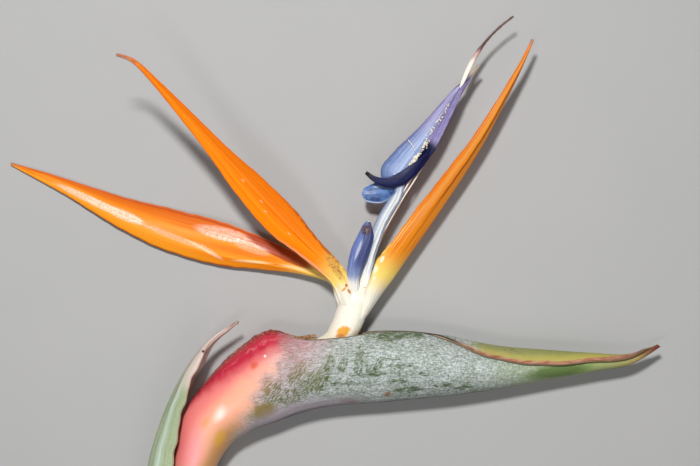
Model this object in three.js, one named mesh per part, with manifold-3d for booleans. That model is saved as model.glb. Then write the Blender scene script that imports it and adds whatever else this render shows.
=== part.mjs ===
// Bird of paradise flower (Strelitzia), cut and laid on its side. Millimetres, +Z up.
// The flower's plane of symmetry is level, MID above the surface. Its stalk points towards -Y.
// The origin is the small flat spot that the spathe rests on.
import * as THREE from 'three';
import { mergeVertices } from 'three/addons/utils/BufferGeometryUtils.js';
import Module from 'manifold-3d';

const wasm = await Module();
wasm.setup();

// ---------- driving dimensions ----------

const MID = 10; // height of the plane of symmetry
const GAP = 0.3; // clearance between pieces that rest on each other
const STALK_RADIUS = 7.2;
const NECK_RADIUS = 5.2; // the stalk's top, inside the spathe
const SPATHE_WALL = 1.6;
const FLAP_WALL = 0.9; // the margin that wraps over the beak
const BRACT_THICK = 0.9;
const SEPAL_THICK = 0.9;
const PETAL_THICK = 0.7;
const MEMBRANE_THICK = 0.6;
const STYLE_RADIUS = 0.5;

// ---------- curves ----------

const radians = THREE.MathUtils.degToRad;
const clamp = THREE.MathUtils.clamp;
const smooth = THREE.MathUtils.smoothstep;

// One number between b and c of four evenly spaced values, on a Catmull-Rom curve.
function cubic(a, b, c, d, t) {
  const slopeB = (c - a) / 2;
  const slopeC = (d - b) / 2;
  const t2 = t * t;
  const t3 = t2 * t;
  return b * (2 * t3 - 3 * t2 + 1) + c * (3 * t2 - 2 * t3) + slopeB * (t3 - 2 * t2 + t) + slopeC * (t3 - t2);
}

// Row t (0 to 1) of a list of stations. Each number of a station is eased along the list.
function stationAt(stations, t) {
  const last = stations.length - 1;
  const place = clamp(t, 0, 1) * last;
  const i = Math.min(Math.floor(place), last - 1);
  const pick = (k) => stations[clamp(k, 0, last)];
  const rows = [pick(i - 1), pick(i), pick(i + 1), pick(i + 2)];
  const blend = (values) => cubic(...values, place - i);
  const station = {};
  for (const key of Object.keys(rows[0])) {
    if (Array.isArray(rows[0][key])) {
      station[key] = rows[0][key].map((_, axis) => blend(rows.map((row) => row[key][axis])));
    } else {
      station[key] = blend(rows.map((row) => row[key]));
    }
  }
  return station;
}

// Stations at even steps, each with its frame: along the curve, to its left, and facing up.
// A roll turns the frame about the curve and lifts its left side.
function sampled(stations, steps) {
  const rows = [];
  for (let i = 0; i <= steps; i += 1) {
    const t = i / steps;
    const row = stationAt(stations, t);
    const ahead = new THREE.Vector3(...stationAt(stations, t + 0.01).at);
    const behind = new THREE.Vector3(...stationAt(stations, t - 0.01).at);
    const along = ahead.sub(behind).normalize();
    const left = new THREE.Vector3(0, 0, 1).cross(along).normalize();
    const face = along.clone().cross(left);
    const roll = radians(row.roll ?? 0);
    row.centre = new THREE.Vector3(...row.at);
    row.along = along;
    row.left = left.clone().multiplyScalar(Math.cos(roll)).addScaledVector(face, Math.sin(roll));
    row.face = face.clone().multiplyScalar(Math.cos(roll)).addScaledVector(left, -Math.sin(roll));
    rows.push(row);
  }
  return rows;
}

const offset = (row, toLeft, toFace) => row.centre.clone()
  .addScaledVector(row.left, toLeft)
  .addScaledVector(row.face, toFace);

// ---------- closed meshes ----------

function meshGeometry(points, triangles) {
  const geometry = new THREE.BufferGeometry();
  const numbers = points.flatMap((p) => [p.x, p.y, p.z]);
  geometry.setAttribute('position', new THREE.Float32BufferAttribute(numbers, 3));
  geometry.setIndex(triangles);
  return geometry;
}

// A sheet with two faces, given as grids of points of the same size. Both faces are cut into
// triangles alike, and strips close the rim. Front faces away from back.
function sheet(front, back) {
  const rows = front.length;
  const columns = front[0].length;
  const points = [...front.flat(), ...back.flat()];
  const behind = rows * columns;
  const at = (i, j) => i * columns + j;
  const triangles = [];
  for (let i = 0; i < rows - 1; i += 1) {
    for (let j = 0; j < columns - 1; j += 1) {
      const [a, b, c, d] = [at(i, j), at(i + 1, j), at(i + 1, j + 1), at(i, j + 1)];
      triangles.push(a, b, c, a, c, d);
      triangles.push(behind + a, behind + c, behind + b, behind + a, behind + d, behind + c);
    }
  }
  const rim = [];
  for (let j = 0; j < columns - 1; j += 1) rim.push(at(0, j));
  for (let i = 0; i < rows - 1; i += 1) rim.push(at(i, columns - 1));
  for (let j = columns - 1; j > 0; j -= 1) rim.push(at(rows - 1, j));
  for (let i = rows - 1; i > 0; i -= 1) rim.push(at(i, 0));
  rim.forEach((p, k) => {
    const q = rim[(k + 1) % rim.length];
    triangles.push(p, q, behind + q, p, behind + q, behind + p);
  });
  return meshGeometry(points, triangles);
}

// A solid stem through round or oval sections, closed by a flat face at each end. flute scales
// the section's radius by the angle round it.
function stem(rows, sides, flute = () => 1) {
  const points = [];
  for (const row of rows) {
    for (let k = 0; k < sides; k += 1) {
      const turn = (2 * Math.PI * k) / sides;
      const reach = flute(turn);
      points.push(offset(row, row.wide * reach * Math.cos(turn), row.deep * reach * Math.sin(turn)));
    }
  }
  const triangles = [];
  for (let i = 0; i < rows.length - 1; i += 1) {
    for (let k = 0; k < sides; k += 1) {
      const [a, b] = [i * sides + k, i * sides + ((k + 1) % sides)];
      triangles.push(a, b, b + sides, a, b + sides, a + sides);
    }
  }
  const end = (rows.length - 1) * sides;
  for (let k = 1; k < sides - 1; k += 1) {
    triangles.push(0, k + 1, k);
    triangles.push(end, end + k, end + k + 1);
  }
  return meshGeometry(points, triangles);
}

// A leaf-like blade. Each station has half, its half width measured round the section, and
// wrap, the angle that each half turns through: the edges rise towards the face where it is
// positive. fold adds a crease at keel, across the blade from -1 (right) to 1 (left).
function blade(stations, { steps, across, thick, keel = 0 }) {
  const front = [];
  const back = [];
  const softness = 0.12;
  for (const row of sampled(stations, steps)) {
    const wrap = radians(Math.abs(row.wrap) < 1 ? 1 : row.wrap);
    const radius = row.half / wrap;
    const crease = (v) => (row.fold ?? 0) * row.half * (Math.hypot(v - keel, softness) - softness);
    const bow = (v) => radius * (1 - Math.cos(wrap * v));
    const section = (v) => new THREE.Vector2(radius * Math.sin(wrap * v), bow(v) + crease(v));
    const frontRow = [];
    const backRow = [];
    for (let j = 0; j <= across; j += 1) {
      const v = (2 * j) / across - 1;
      const here = section(v);
      const tangent = section(v + 0.02).sub(section(v - 0.02)).normalize();
      const reach = Math.min(thick, 2 * row.half) / 2;
      frontRow.push(offset(row, here.x - tangent.y * reach, here.y + tangent.x * reach));
      backRow.push(offset(row, here.x + tangent.y * reach, here.y - tangent.x * reach));
    }
    front.push(frontRow);
    back.push(backRow);
  }
  return sheet(front, back);
}

// ---------- joining and cutting ----------

function solidOf(geometry) {
  const bare = geometry.clone();
  bare.deleteAttribute('normal');
  bare.deleteAttribute('uv');
  const merged = mergeVertices(bare, 1e-5);
  return new wasm.Manifold(new wasm.Mesh({
    numProp: 3,
    vertProperties: new Float32Array(merged.attributes.position.array),
    triVerts: new Uint32Array(merged.index.array),
  }));
}

function geometryOf(solid) {
  const mesh = solid.getMesh();
  const geometry = new THREE.BufferGeometry();
  geometry.setAttribute('position', new THREE.BufferAttribute(new Float32Array(mesh.vertProperties), 3));
  geometry.setIndex([...mesh.triVerts]);
  return geometry;
}

const joined = (geometries) => geometryOf(geometries.map(solidOf).reduce((whole, next) => whole.add(next)));

// ---------- stalk and its bract ----------

// The stalk's centre from the cut end to the bend. wide and deep are its half widths.
const STALK_LINE = [
  { at: [-71.5, -124, 7.22], wide: 7.3, deep: 7.25 },
  { at: [-64.6, -100, 8.0], wide: 7.25, deep: 7.25 },
  { at: [-58.4, -76, 9.05], wide: 7.2, deep: 7.2 },
  { at: [-52.8, -56, 9.85], wide: 7.2, deep: 7.2 },
  { at: [-48.9, -42.3, MID], wide: STALK_RADIUS, deep: STALK_RADIUS },
];
const NECK_LINE = [
  { at: [-48.9, -42.3, MID], wide: NECK_RADIUS, deep: NECK_RADIUS },
  { at: [-45.9, -31.5, MID], wide: NECK_RADIUS, deep: NECK_RADIUS },
  { at: [-42.6, -22.0, MID], wide: 5.7, deep: 5.5 },
  { at: [-38.3, -15.6, MID], wide: 6.6, deep: 6.1 },
  { at: [-34.0, -11.5, MID], wide: 6.5, deep: 6.2 },
];

function scape() {
  const sides = 22;
  return stem([...sampled(STALK_LINE, 12), ...sampled(NECK_LINE, 7)], sides);
}

// The bract clasps the stalk where it grows from it. stand is how far its midrib has left the stalk.
const SHEATH_TURN = 6; // its midrib faces this much towards the near side
const SHEATH_PLAY = 0.25; // how loosely it clasps
const SHEATH_CLASP = [
  { on: 0.52, stand: 0, wrap: 152 },
  { on: 0.64, stand: 0.6, wrap: 134 },
  { on: 0.78, stand: 1.7, wrap: 116 },
  { on: 0.91, stand: 4.4, wrap: 94 },
];
const SHEATH_FREE = [
  { at: [-61.0, -31.0, 10.6], half: 12.0, wrap: 86, roll: 98 },
  { at: [-57.2, -18.0, 11.2], half: 10.4, wrap: 76, roll: 98 },
  { at: [-52.1, -6.0, 11.8], half: 8.4, wrap: 70, roll: 92 },
  { at: [-46.6, 3.4, 12.4], half: 5.8, wrap: 64, roll: 86 },
  { at: [-40.0, 11.2, 13.0], half: 3.2, wrap: 54, roll: 80 },
  { at: [-30.9, 17.3, 13.6], half: 0.6, wrap: 30, roll: 80 },
];

function sheathBract() {
  const turn = radians(SHEATH_TURN);
  const clasp = SHEATH_CLASP.map(({ on, stand, wrap }) => {
    const [stalk] = sampled([stationAt(STALK_LINE, on - 0.01), stationAt(STALK_LINE, on + 0.01)], 1);
    const radius = stalk.wide + GAP + SHEATH_PLAY + BRACT_THICK / 2 + stand / 3;
    const reach = radius + (2 * stand) / 3;
    const at = offset(stalk, reach * Math.cos(turn), reach * Math.sin(turn)).toArray();
    return { at, half: radius * radians(wrap), wrap, roll: 90 + SHEATH_TURN };
  });
  return blade([...clasp, ...SHEATH_FREE], { steps: 24, across: 12, thick: BRACT_THICK });
}

// ---------- spathe ----------

// Sections of the spathe from its base to the tip of its beak. keel and top are its lower and
// upper edge in the plane of symmetry, deep is half its width, sharp is how keen its keel is,
// and wall its thickness. open is half the width of the slit between the two margins,
// and flap the angle by which the far margin wraps over on to the near side.
const SPATHE = [
  { keel: [-41.8, -44.0], top: [-55.9, -40.0], deep: 7.2, sharp: 1, wall: SPATHE_WALL, open: 0.2, flap: 0 },
  { keel: [-38.4, -32.0], top: [-52.6, -27.2], deep: 7.5, sharp: 1, wall: SPATHE_WALL, open: 0.2, flap: 0 },
  { keel: [-33.2, -24.2], top: [-49.9, -14.3], deep: 8.3, sharp: 1, wall: SPATHE_WALL, open: 0.2, flap: 0 },
  { keel: [-26.4, -19.8], top: [-43.6, -5.2], deep: 9.2, sharp: 1, wall: SPATHE_WALL, open: 0.2, flap: 0 },
  { keel: [-18.4, -16.9], top: [-33.6, 5.2], deep: 9.9, sharp: 1.05, wall: SPATHE_WALL, open: 0.25, flap: 0 },
  { keel: [-10.6, -14.1], top: [-20.8, 13.4], deep: 10.3, sharp: 1.1, wall: SPATHE_WALL, open: 0.6, flap: 0 },
  { keel: [-1.6, -11.9], top: [-9.0, 11.5], deep: 10.4, sharp: 1.15, wall: SPATHE_WALL, open: 4.6, flap: 0 },
  { keel: [8.0, -10.8], top: [3.4, 12.1], deep: 10.4, sharp: 1.2, wall: SPATHE_WALL, open: 5.6, flap: 0 },
  { keel: [19.4, -10.1], top: [16.6, 13.8], deep: 10.3, sharp: 1.25, wall: SPATHE_WALL, open: 3.6, flap: 0 },
  { keel: [31.6, -9.0], top: [30.6, 13.5], deep: 9.8, sharp: 1.3, wall: SPATHE_WALL, open: 1.4, flap: 0 },
  { keel: [44.0, -7.6], top: [44.0, 10.2], deep: 8.4, sharp: 1.3, wall: 1.5, open: 0.1, flap: 34 },
  { keel: [58.0, -5.6], top: [58.0, 7.5], deep: 6.3, sharp: 1.3, wall: 1.3, open: 0, flap: 58 },
  { keel: [74.0, -2.6], top: [74.0, 6.2], deep: 4.4, sharp: 1.25, wall: 1.2, open: 0, flap: 66 },
  { keel: [90.0, 0.3], top: [90.0, 5.2], deep: 2.7, sharp: 1.15, wall: 1.1, open: 0, flap: 62 },
  { keel: [102.4, 2.7], top: [102.0, 5.0], deep: 1.5, sharp: 1, wall: 0.95, open: 0, flap: 30 },
  { keel: [112.3, 8.6], top: [111.3, 9.4], deep: 0.75, sharp: 1, wall: 0.6, open: 0.05, flap: 0 },
];
const MARGIN_GAP = 0.2; // half the gap between the two margins where they meet
const TUCK = radians(12); // how far the near margin stops short under the flap
const SEAM = { from: 0.16, peak: 0.333, to: 0.375, height: 0.9 }; // raised crest where the margins meet

// A point of a section at an angle from the keel, scaled about the section's middle. The margins
// of an open slit end at rim, where the section has its full height.
function spathePoint(section, angle, rim, scale) {
  const rise = (1 - Math.cos(angle)) / (1 - Math.cos(rim));
  const lift = (rise - 0.5) * scale + 0.5;
  const sine = Math.sin(angle);
  const bulge = section.deep * Math.sign(sine) * Math.abs(sine) ** section.sharp * scale;
  const x = THREE.MathUtils.lerp(section.keel[0], section.top[0], lift);
  const y = THREE.MathUtils.lerp(section.keel[1], section.top[1], lift);
  return new THREE.Vector3(x, y, Math.max(MID + bulge, 0));
}

function spathe() {
  const steps = 36;
  const across = 22;
  const outer = [];
  const inner = [];
  for (let i = 0; i <= steps; i += 1) {
    const t = i / steps;
    const section = stationAt(SPATHE, t);
    const height = Math.hypot(section.top[0] - section.keel[0], section.top[1] - section.keel[1]);
    const small = Math.min(section.deep, height / 2);
    const open = clamp(Math.max(section.open, MARGIN_GAP) / section.deep, 0, 0.9);
    const slit = Math.asin(open ** (1 / section.sharp));
    const flap = radians(Math.max(section.flap, 0));
    const flapped = smooth(flap, 0, radians(34));
    const rim = Math.PI - slit * (1 - flapped);
    const nearEnd = Math.PI - slit - flapped * TUCK;
    const farEnd = rim + flap;
    const wall = Math.min(section.wall, small * 0.7);
    const flapWall = Math.min(FLAP_WALL, wall);
    const spread = (flapWall + GAP + 0.1) / small;
    const ridged = smooth(t, SEAM.from, SEAM.peak) * (1 - smooth(t, SEAM.peak, SEAM.to));
    const crest = (2 * SEAM.height * ridged) / height;
    const outerRow = [];
    const innerRow = [];
    for (let j = 0; j <= across; j += 1) {
      const angle = -farEnd + ((nearEnd + farEnd) * j) / across;
      const wrapped = smooth(-angle, radians(120), radians(170)) * flapped;
      const raised = smooth(Math.abs(angle), radians(150), Math.PI) * crest;
      const thick = THREE.MathUtils.lerp(wall, flapWall, wrapped) / small;
      outerRow.push(spathePoint(section, angle, rim, 1 + spread * wrapped + raised));
      innerRow.push(spathePoint(section, angle, rim, 1 + spread * wrapped - thick));
    }
    outer.push(outerRow);
    inner.push(innerRow);
  }
  return sheet(outer, inner);
}

// ---------- what stands in the spathe ----------

const OVARY_LINE = [
  { at: [-35.7, -9.1, MID], wide: 2.5, deep: 2.5 },
  { at: [-28.6, -2.2, MID], wide: 3.6, deep: 3.4 },
  { at: [-18.6, 2.6, MID], wide: 4.3, deep: 3.9 },
  { at: [-8.4, 5.0, MID], wide: 4.7, deep: 4.0 },
  { at: [0.2, 9.2, MID], wide: 5.4, deep: 4.0 },
  { at: [4.4, 15.2, MID], wide: 5.6, deep: 3.9 },
  { at: [7.0, 20.6, MID], wide: 5.2, deep: 3.9 },
  { at: [8.5, 25.6, MID], wide: 3.4, deep: 3.6 },
];
const BACK_ARM = [
  { at: [6.2, 17.6, MID], wide: 3.2, deep: 3.4 },
  { at: [4.9, 24.4, MID], wide: 3.1, deep: 4.2 },
  { at: [2.2, 30.2, MID], wide: 2.9, deep: 4.6 },
];
const FRONT_ARM = [
  { at: [8.0, 18.4, MID], wide: 3.4, deep: 3.4 },
  { at: [11.6, 23.8, MID], wide: 3.5, deep: 3.8 },
  { at: [16.4, 29.4, MID], wide: 3.8, deep: 4.2 },
];

const flowerBase = () => joined([
  stem(sampled(OVARY_LINE, 18), 14),
  stem(sampled(BACK_ARM, 5), 12),
  stem(sampled(FRONT_ARM, 5), 12),
]);

const MEMBRANE_SPINE = [
  { at: [-24.0, 7.6, 10.2], half: 0.6, wrap: 10 },
  { at: [-19.4, 9.0, 10.3], half: 1.4, wrap: 24 },
  { at: [-14.0, 10.4, 10.5], half: 1.4, wrap: 28 },
  { at: [-9.0, 11.5, 11.0], half: 0.9, wrap: 24 },
  { at: [-4.8, 12.6, 11.6], half: 0.4, wrap: 10 },
];

const flowerBract = () => blade(MEMBRANE_SPINE, { steps: 12, across: 4, thick: MEMBRANE_THICK });

const BUD_OLDER_LINE = [
  { at: [-31.7, -12.5, MID + 2.9], wide: 2.1, deep: 2.1 },
  { at: [-20.0, -7.0, MID + 3.7], wide: 3.0, deep: 3.0 },
  { at: [-2.0, -2.0, MID + 4.0], wide: 3.5, deep: 3.3 },
  { at: [18.0, 1.6, MID + 3.7], wide: 3.3, deep: 3.0 },
  { at: [38.0, 3.4, MID + 1.6], wide: 0.7, deep: 0.7 },
];
const BUD_YOUNGER_LINE = [
  { at: [-31.7, -12.5, MID - 2.9], wide: 2.1, deep: 2.1 },
  { at: [-20.0, -7.4, MID - 3.6], wide: 2.8, deep: 2.8 },
  { at: [-4.0, -3.2, MID - 3.8], wide: 3.1, deep: 3.0 },
  { at: [12.0, -0.8, MID - 3.4], wide: 2.8, deep: 2.6 },
  { at: [28.0, 0.4, MID - 2.0], wide: 0.7, deep: 0.7 },
];

const bud = (line) => stem(sampled(line, 12), 10);

// ---------- sepals ----------

// Each sepal runs from its base to its tip.
const SEPAL_BACK_LOW = [
  { at: [0.9, 31.0, 7.2], half: 2.3, wrap: -50, roll: -14, fold: 0 },
  { at: [-9.0, 35.6, 6.5], half: 3.2, wrap: -34, roll: -12, fold: -0.1 },
  { at: [-22.0, 39.3, 5.6], half: 5.2, wrap: -24, roll: -10, fold: -0.16 },
  { at: [-37.0, 43.1, 4.9], half: 7.4, wrap: -20, roll: -8, fold: -0.18 },
  { at: [-54.0, 47.9, 4.0], half: 7.4, wrap: -20, roll: -6, fold: -0.18 },
  { at: [-71.0, 54.2, 3.1], half: 5.5, wrap: -20, roll: -4, fold: -0.16 },
  { at: [-87.0, 61.4, 2.2], half: 3.1, wrap: -20, roll: -2, fold: -0.12 },
  { at: [-100.0, 66.9, 1.4], half: 1.6, wrap: -16, roll: 0, fold: -0.06 },
  { at: [-110.6, 71.2, 0.52], half: 0.4, wrap: -4, roll: 0, fold: 0 },
];
const SEPAL_BACK_HIGH = [
  { at: [2.9, 31.7, 12.7], half: 2.3, wrap: 40, roll: 10, fold: 0 },
  { at: [-6.4, 41.6, 15.0], half: 4.2, wrap: 30, roll: 8, fold: 0.12 },
  { at: [-15.8, 51.0, 17.8], half: 5.8, wrap: 24, roll: 4, fold: 0.16 },
  { at: [-26.4, 62.6, 21.2], half: 5.2, wrap: 20, roll: 0, fold: 0.2 },
  { at: [-36.7, 73.9, 25.0], half: 3.6, wrap: 18, roll: -4, fold: 0.2 },
  { at: [-47.0, 85.2, 29.4], half: 2.3, wrap: 16, roll: -6, fold: 0.18 },
  { at: [-57.4, 96.2, 34.4], half: 1.4, wrap: 14, roll: -6, fold: 0.1 },
  { at: [-68.0, 103.6, 39.0], half: 0.4, wrap: 4, roll: -6, fold: 0 },
];
// The front sepal's stations follow its keel.
const SEPAL_FRONT = [
  { at: [20.2, 27.9, MID], half: 5.8, wrap: 58, roll: -90, fold: 0.7 },
  { at: [25.6, 37.0, MID], half: 6.6, wrap: 54, roll: -88, fold: 0.72 },
  { at: [32.0, 47.4, MID], half: 6.6, wrap: 50, roll: -88, fold: 0.7 },
  { at: [38.8, 57.4, MID + 0.4], half: 6.2, wrap: 46, roll: -88, fold: 0.66 },
  { at: [45.8, 67.9, MID + 1], half: 5.4, wrap: 42, roll: -88, fold: 0.62 },
  { at: [52.2, 78.4, MID + 1.6], half: 4.4, wrap: 38, roll: -88, fold: 0.58 },
  { at: [58.2, 89.9, MID + 2.2], half: 3.2, wrap: 34, roll: -88, fold: 0.54 },
  { at: [63.8, 101.4, MID + 2.8], half: 1.8, wrap: 28, roll: -88, fold: 0.5 },
  { at: [68.5, 112.6, MID + 3.4], half: 0.5, wrap: 8, roll: -88, fold: 0 },
];
const SEPAL_RIDGE = 0.5; // the low sepal's ridge lies this far across, towards its lower edge

const sepal = (line, keel) => blade(line, { steps: 24, across: 8, thick: SEPAL_THICK, keel });

// ---------- arrow, nectary petal, style and stamens ----------

// The line that the two blue petals close round, from the flower base to the arrow's tip.
const GROOVE = [
  { at: [9.0, 27.8, MID - 0.4] },
  { at: [12.9, 39.5, MID - 0.2] },
  { at: [17.7, 50.0, MID + 0.1] },
  { at: [23.2, 59.9, MID + 0.5] },
  { at: [28.2, 69.4, MID + 0.9] },
  { at: [33.4, 78.2, MID + 1.3] },
  { at: [38.8, 87.0, MID + 1.7] },
  { at: [44.3, 96.3, MID + 2.1] },
];

// Stations beside the groove: left and up are measured from it, across and above.
function besideGroove(stations) {
  return stations.map(({ on, left, up, ...rest }) => {
    const [frame] = sampled([
      { at: stationAt(GROOVE, on - 0.01).at },
      { at: stationAt(GROOVE, on + 0.01).at },
    ], 1);
    const here = new THREE.Vector3(...stationAt(GROOVE, on).at);
    here.addScaledVector(frame.left, left).addScaledVector(frame.face, up);
    return { at: here.toArray(), ...rest };
  });
}

const WING = [
  { on: 0.03, left: 0.9, up: 1.05, half: 1.2, wrap: -50, roll: -40 },
  { on: 0.16, left: 1.45, up: 1.8, half: 2.0, wrap: -50, roll: -38 },
  { on: 0.3, left: 1.5, up: 1.9, half: 2.0, wrap: -50, roll: -38 },
  { on: 0.42, left: 1.5, up: 1.95, half: 2.0, wrap: -50, roll: -36 },
  { on: 0.49, left: 2.4, up: 2.4, half: 2.4, wrap: -36, roll: -20 },
  { on: 0.52, left: 4.8, up: 2.2, half: 4.2, wrap: -28, roll: -10 },
  { on: 0.59, left: 4.1, up: 2.2, half: 3.6, wrap: -28, roll: -8 },
  { on: 0.7, left: 3.4, up: 2.1, half: 2.9, wrap: -28, roll: -8 },
  { on: 0.8, left: 2.7, up: 2.0, half: 2.2, wrap: -28, roll: -8 },
  { on: 0.89, left: 2.1, up: 1.8, half: 1.6, wrap: -24, roll: -8 },
  { on: 0.97, left: 1.2, up: 1.5, half: 0.6, wrap: -10, roll: -8 },
];
const TROUGH = [
  { on: 0.03, left: -0.65, up: -0.95, half: 2.1, wrap: 104, roll: -36 },
  { on: 0.14, left: -1.09, up: -1.6, half: 3.36, wrap: 104, roll: -36 },
  { on: 0.28, left: -1.09, up: -1.6, half: 3.36, wrap: 104, roll: -36 },
  { on: 0.42, left: -1.09, up: -1.6, half: 3.36, wrap: 104, roll: -36 },
  { on: 0.56, left: -1.6, up: -1.5, half: 4.2, wrap: 116, roll: -50 },
  { on: 0.7, left: -1.8, up: -1.35, half: 4.6, wrap: 120, roll: -55 },
  { on: 0.84, left: -1.6, up: -1.2, half: 4.1, wrap: 120, roll: -55 },
  { on: 0.97, left: -1.0, up: -0.8, half: 2.4, wrap: 110, roll: -55 },
];
const TROUGH_TIP = [
  { at: [47.9, 100.8, MID + 1.5], half: 0.8, wrap: 60, roll: -55 },
  { at: [50.4, 104.0, MID + 1.6], half: 0.35, wrap: 20, roll: -55 },
];
const CUP_BARB = [
  { at: [23.6, 66.6, MID + 2.7], half: 1.4, wrap: -30, roll: 0 },
  { at: [20.3, 63.6, MID + 2.1], half: 2.8, wrap: -34, roll: 0 },
  { at: [17.2, 61.1, MID + 1.5], half: 3.6, wrap: -34, roll: 4 },
  { at: [13.4, 60.1, MID + 1.1], half: 2.4, wrap: -30, roll: 6 },
  { at: [11.8, 60.0, MID + 0.9], half: 1.0, wrap: -10, roll: 6 },
];
const HORN_BARB = [
  { at: [35.0, 76.8, MID + 1.7], half: 0.8, wrap: -10, roll: -70 },
  { at: [32.6, 72.9, MID + 3.4], half: 1.2, wrap: -14, roll: -40 },
  { at: [28.5, 68.8, MID + 4.5], half: 1.9, wrap: -20, roll: -18 },
  { at: [23.6, 65.3, MID + 4.9], half: 2.2, wrap: -24, roll: -8 },
  { at: [18.9, 64.3, MID + 4.5], half: 1.7, wrap: -24, roll: -4 },
  { at: [15.1, 65.5, MID + 4.0], half: 0.9, wrap: -14, roll: 0 },
  { at: [12.2, 67.7, MID + 3.6], half: 0.4, wrap: -4, roll: 0 },
];

const petal = (line, steps, across) => blade(line, { steps, across, thick: PETAL_THICK });

const arrowPetalWing = () => joined([
  petal(besideGroove(WING), 24, 6),
  petal(CUP_BARB, 8, 6),
]);

const arrowPetalTrough = () => joined([
  petal([...besideGroove(TROUGH), ...TROUGH_TIP], 22, 10),
  petal(HORN_BARB, 12, 4),
]);

const NECTARY_SPINE = [
  { at: [7.2, 28.6, MID + 3.1], half: 1.2, wrap: -44, roll: -14 },
  { at: [8.0, 34.0, MID + 3.9], half: 2.6, wrap: -44, roll: -16 },
  { at: [10.0, 40.6, MID + 4.4], half: 3.7, wrap: -46, roll: -18 },
  { at: [11.8, 46.0, MID + 4.5], half: 2.9, wrap: -46, roll: -16 },
  { at: [13.1, 51.0, MID + 4.3], half: 0.5, wrap: -10, roll: -10 },
];

const nectaryPetal = () => petal(NECTARY_SPINE, 12, 6);

const thread = (on, left, up, radius) => ({ on, left, up, wide: radius, deep: radius });

function style() {
  const inside = besideGroove([
    thread(0.06, -0.1, -0.45, STYLE_RADIUS * 0.8),
    thread(0.25, -0.2, -0.6, STYLE_RADIUS),
    thread(0.5, -0.2, -0.6, STYLE_RADIUS),
    thread(0.75, -0.2, -0.6, STYLE_RADIUS),
    thread(0.94, -0.1, -0.25, STYLE_RADIUS * 0.8),
  ]);
  const outside = [
    { at: [46.7, 102.2, MID + 2.4], wide: 0.85, deep: 0.7 },
    { at: [49.3, 107.2, MID + 2.8], wide: 0.75, deep: 0.6 },
    { at: [52.9, 112.3, MID + 3.2], wide: 0.45, deep: 0.45 },
    { at: [57.4, 116.8, MID + 3.6], wide: 0.4, deep: 0.4 },
    { at: [61.8, 120.2, MID + 4.0], wide: 0.35, deep: 0.35 },
  ];
  return stem(sampled([...inside, ...outside], 27), 6);
}

// Five stamens side by side: thin filaments along the claw, thicker anthers along the head.
const STAMENS = [
  thread(0.03, 0.15, 0.4, 0.34),
  thread(0.2, 0.25, 0.72, 0.44),
  thread(0.5, 0.2, 0.65, 0.48),
  thread(0.62, 0.1, 0.75, 0.66),
  thread(0.8, 0.1, 0.75, 0.64),
  thread(0.9, 0, 0.5, 0.36),
];

function stamens() {
  const count = 5;
  const ridge = 0.22;
  const rows = sampled(besideGroove(STAMENS), 14);
  return stem(rows, 4 * count, (turn) => 1 + ridge * (Math.abs(Math.cos((turn * count) / 2)) - 0.5));
}

// ---------- the flower ----------

const flower = new THREE.Group();

function add(name, geometry, colour, roughness) {
  const material = new THREE.MeshStandardMaterial({ color: colour, roughness, metalness: 0 });
  const mesh = new THREE.Mesh(geometry, material);
  mesh.name = name;
  flower.add(mesh);
}

add('scape', scape(), '#c98a6e', 0.45);
add('sheath_bract', sheathBract(), '#a9b489', 0.55);
add('spathe', spathe(), '#9fb0a0', 0.5);
add('flower_bract', flowerBract(), '#b07a55', 0.6);
add('flower_base', flowerBase(), '#f1ead2', 0.4);
add('bud_older', bud(BUD_OLDER_LINE), '#e9c98c', 0.5);
add('bud_younger', bud(BUD_YOUNGER_LINE), '#e3d3a0', 0.5);
add('sepal_back_low', sepal(SEPAL_BACK_LOW, SEPAL_RIDGE), '#ff8a00', 0.4);
add('sepal_back_high', sepal(SEPAL_BACK_HIGH, 0), '#f88300', 0.4);
add('sepal_front', sepal(SEPAL_FRONT, 0), '#ff9417', 0.4);
add('arrow_petal_wing', arrowPetalWing(), '#8f92c8', 0.35);
add('arrow_petal_trough', arrowPetalTrough(), '#3d3f78', 0.35);
add('nectary_petal', nectaryPetal(), '#5a66b4', 0.35);
add('style', style(), '#e8dcc8', 0.5);
add('stamens', stamens(), '#efe4bf', 0.7);

export default flower;
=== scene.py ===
# %% [markdown]
# # Bird of paradise flower
# A cut flower of Strelitzia lies on its side, so its plane of symmetry is level. This script
# dresses its plain CAD solids: each one gets a finer skin with veins, creases and edges,
# and a finish made of shader nodes. Every skin is made in millimetres from the same
# stations as the solid that it stands for, so the two agree without any fitting.

# %% The frame that every piece sits in
import math
import bpy
import numpy as np
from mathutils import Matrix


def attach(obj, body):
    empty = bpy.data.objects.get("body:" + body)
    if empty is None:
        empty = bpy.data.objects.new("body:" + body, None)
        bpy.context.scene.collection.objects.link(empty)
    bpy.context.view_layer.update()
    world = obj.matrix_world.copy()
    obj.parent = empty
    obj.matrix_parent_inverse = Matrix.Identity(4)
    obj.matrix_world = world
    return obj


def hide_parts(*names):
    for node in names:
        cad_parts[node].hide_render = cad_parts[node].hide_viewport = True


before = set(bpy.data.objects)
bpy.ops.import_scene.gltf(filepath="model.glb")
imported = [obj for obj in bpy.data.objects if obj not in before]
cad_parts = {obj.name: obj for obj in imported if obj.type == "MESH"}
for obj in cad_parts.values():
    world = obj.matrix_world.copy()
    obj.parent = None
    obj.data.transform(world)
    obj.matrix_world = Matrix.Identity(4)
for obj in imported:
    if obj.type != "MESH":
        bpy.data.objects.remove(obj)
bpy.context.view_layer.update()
MM = 0.001
MID = 10.0  # height of the plane of symmetry above the surface

# %% [markdown]
# ## Camera
# The flower's plane of symmetry is level, so the camera looks straight down on it. A camera
# with no rotation already looks along -Z with +Y up, and a 75 mm lens keeps the perspective
# as mild as it is with a real close view.

# %% Camera
LENS = 75.0  # mm, on a 36 mm sensor
CAMERA_HEIGHT = 495.8  # above the plane of symmetry
CAMERA_PLACE = (6.8, 47.26, MID + CAMERA_HEIGHT)

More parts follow.
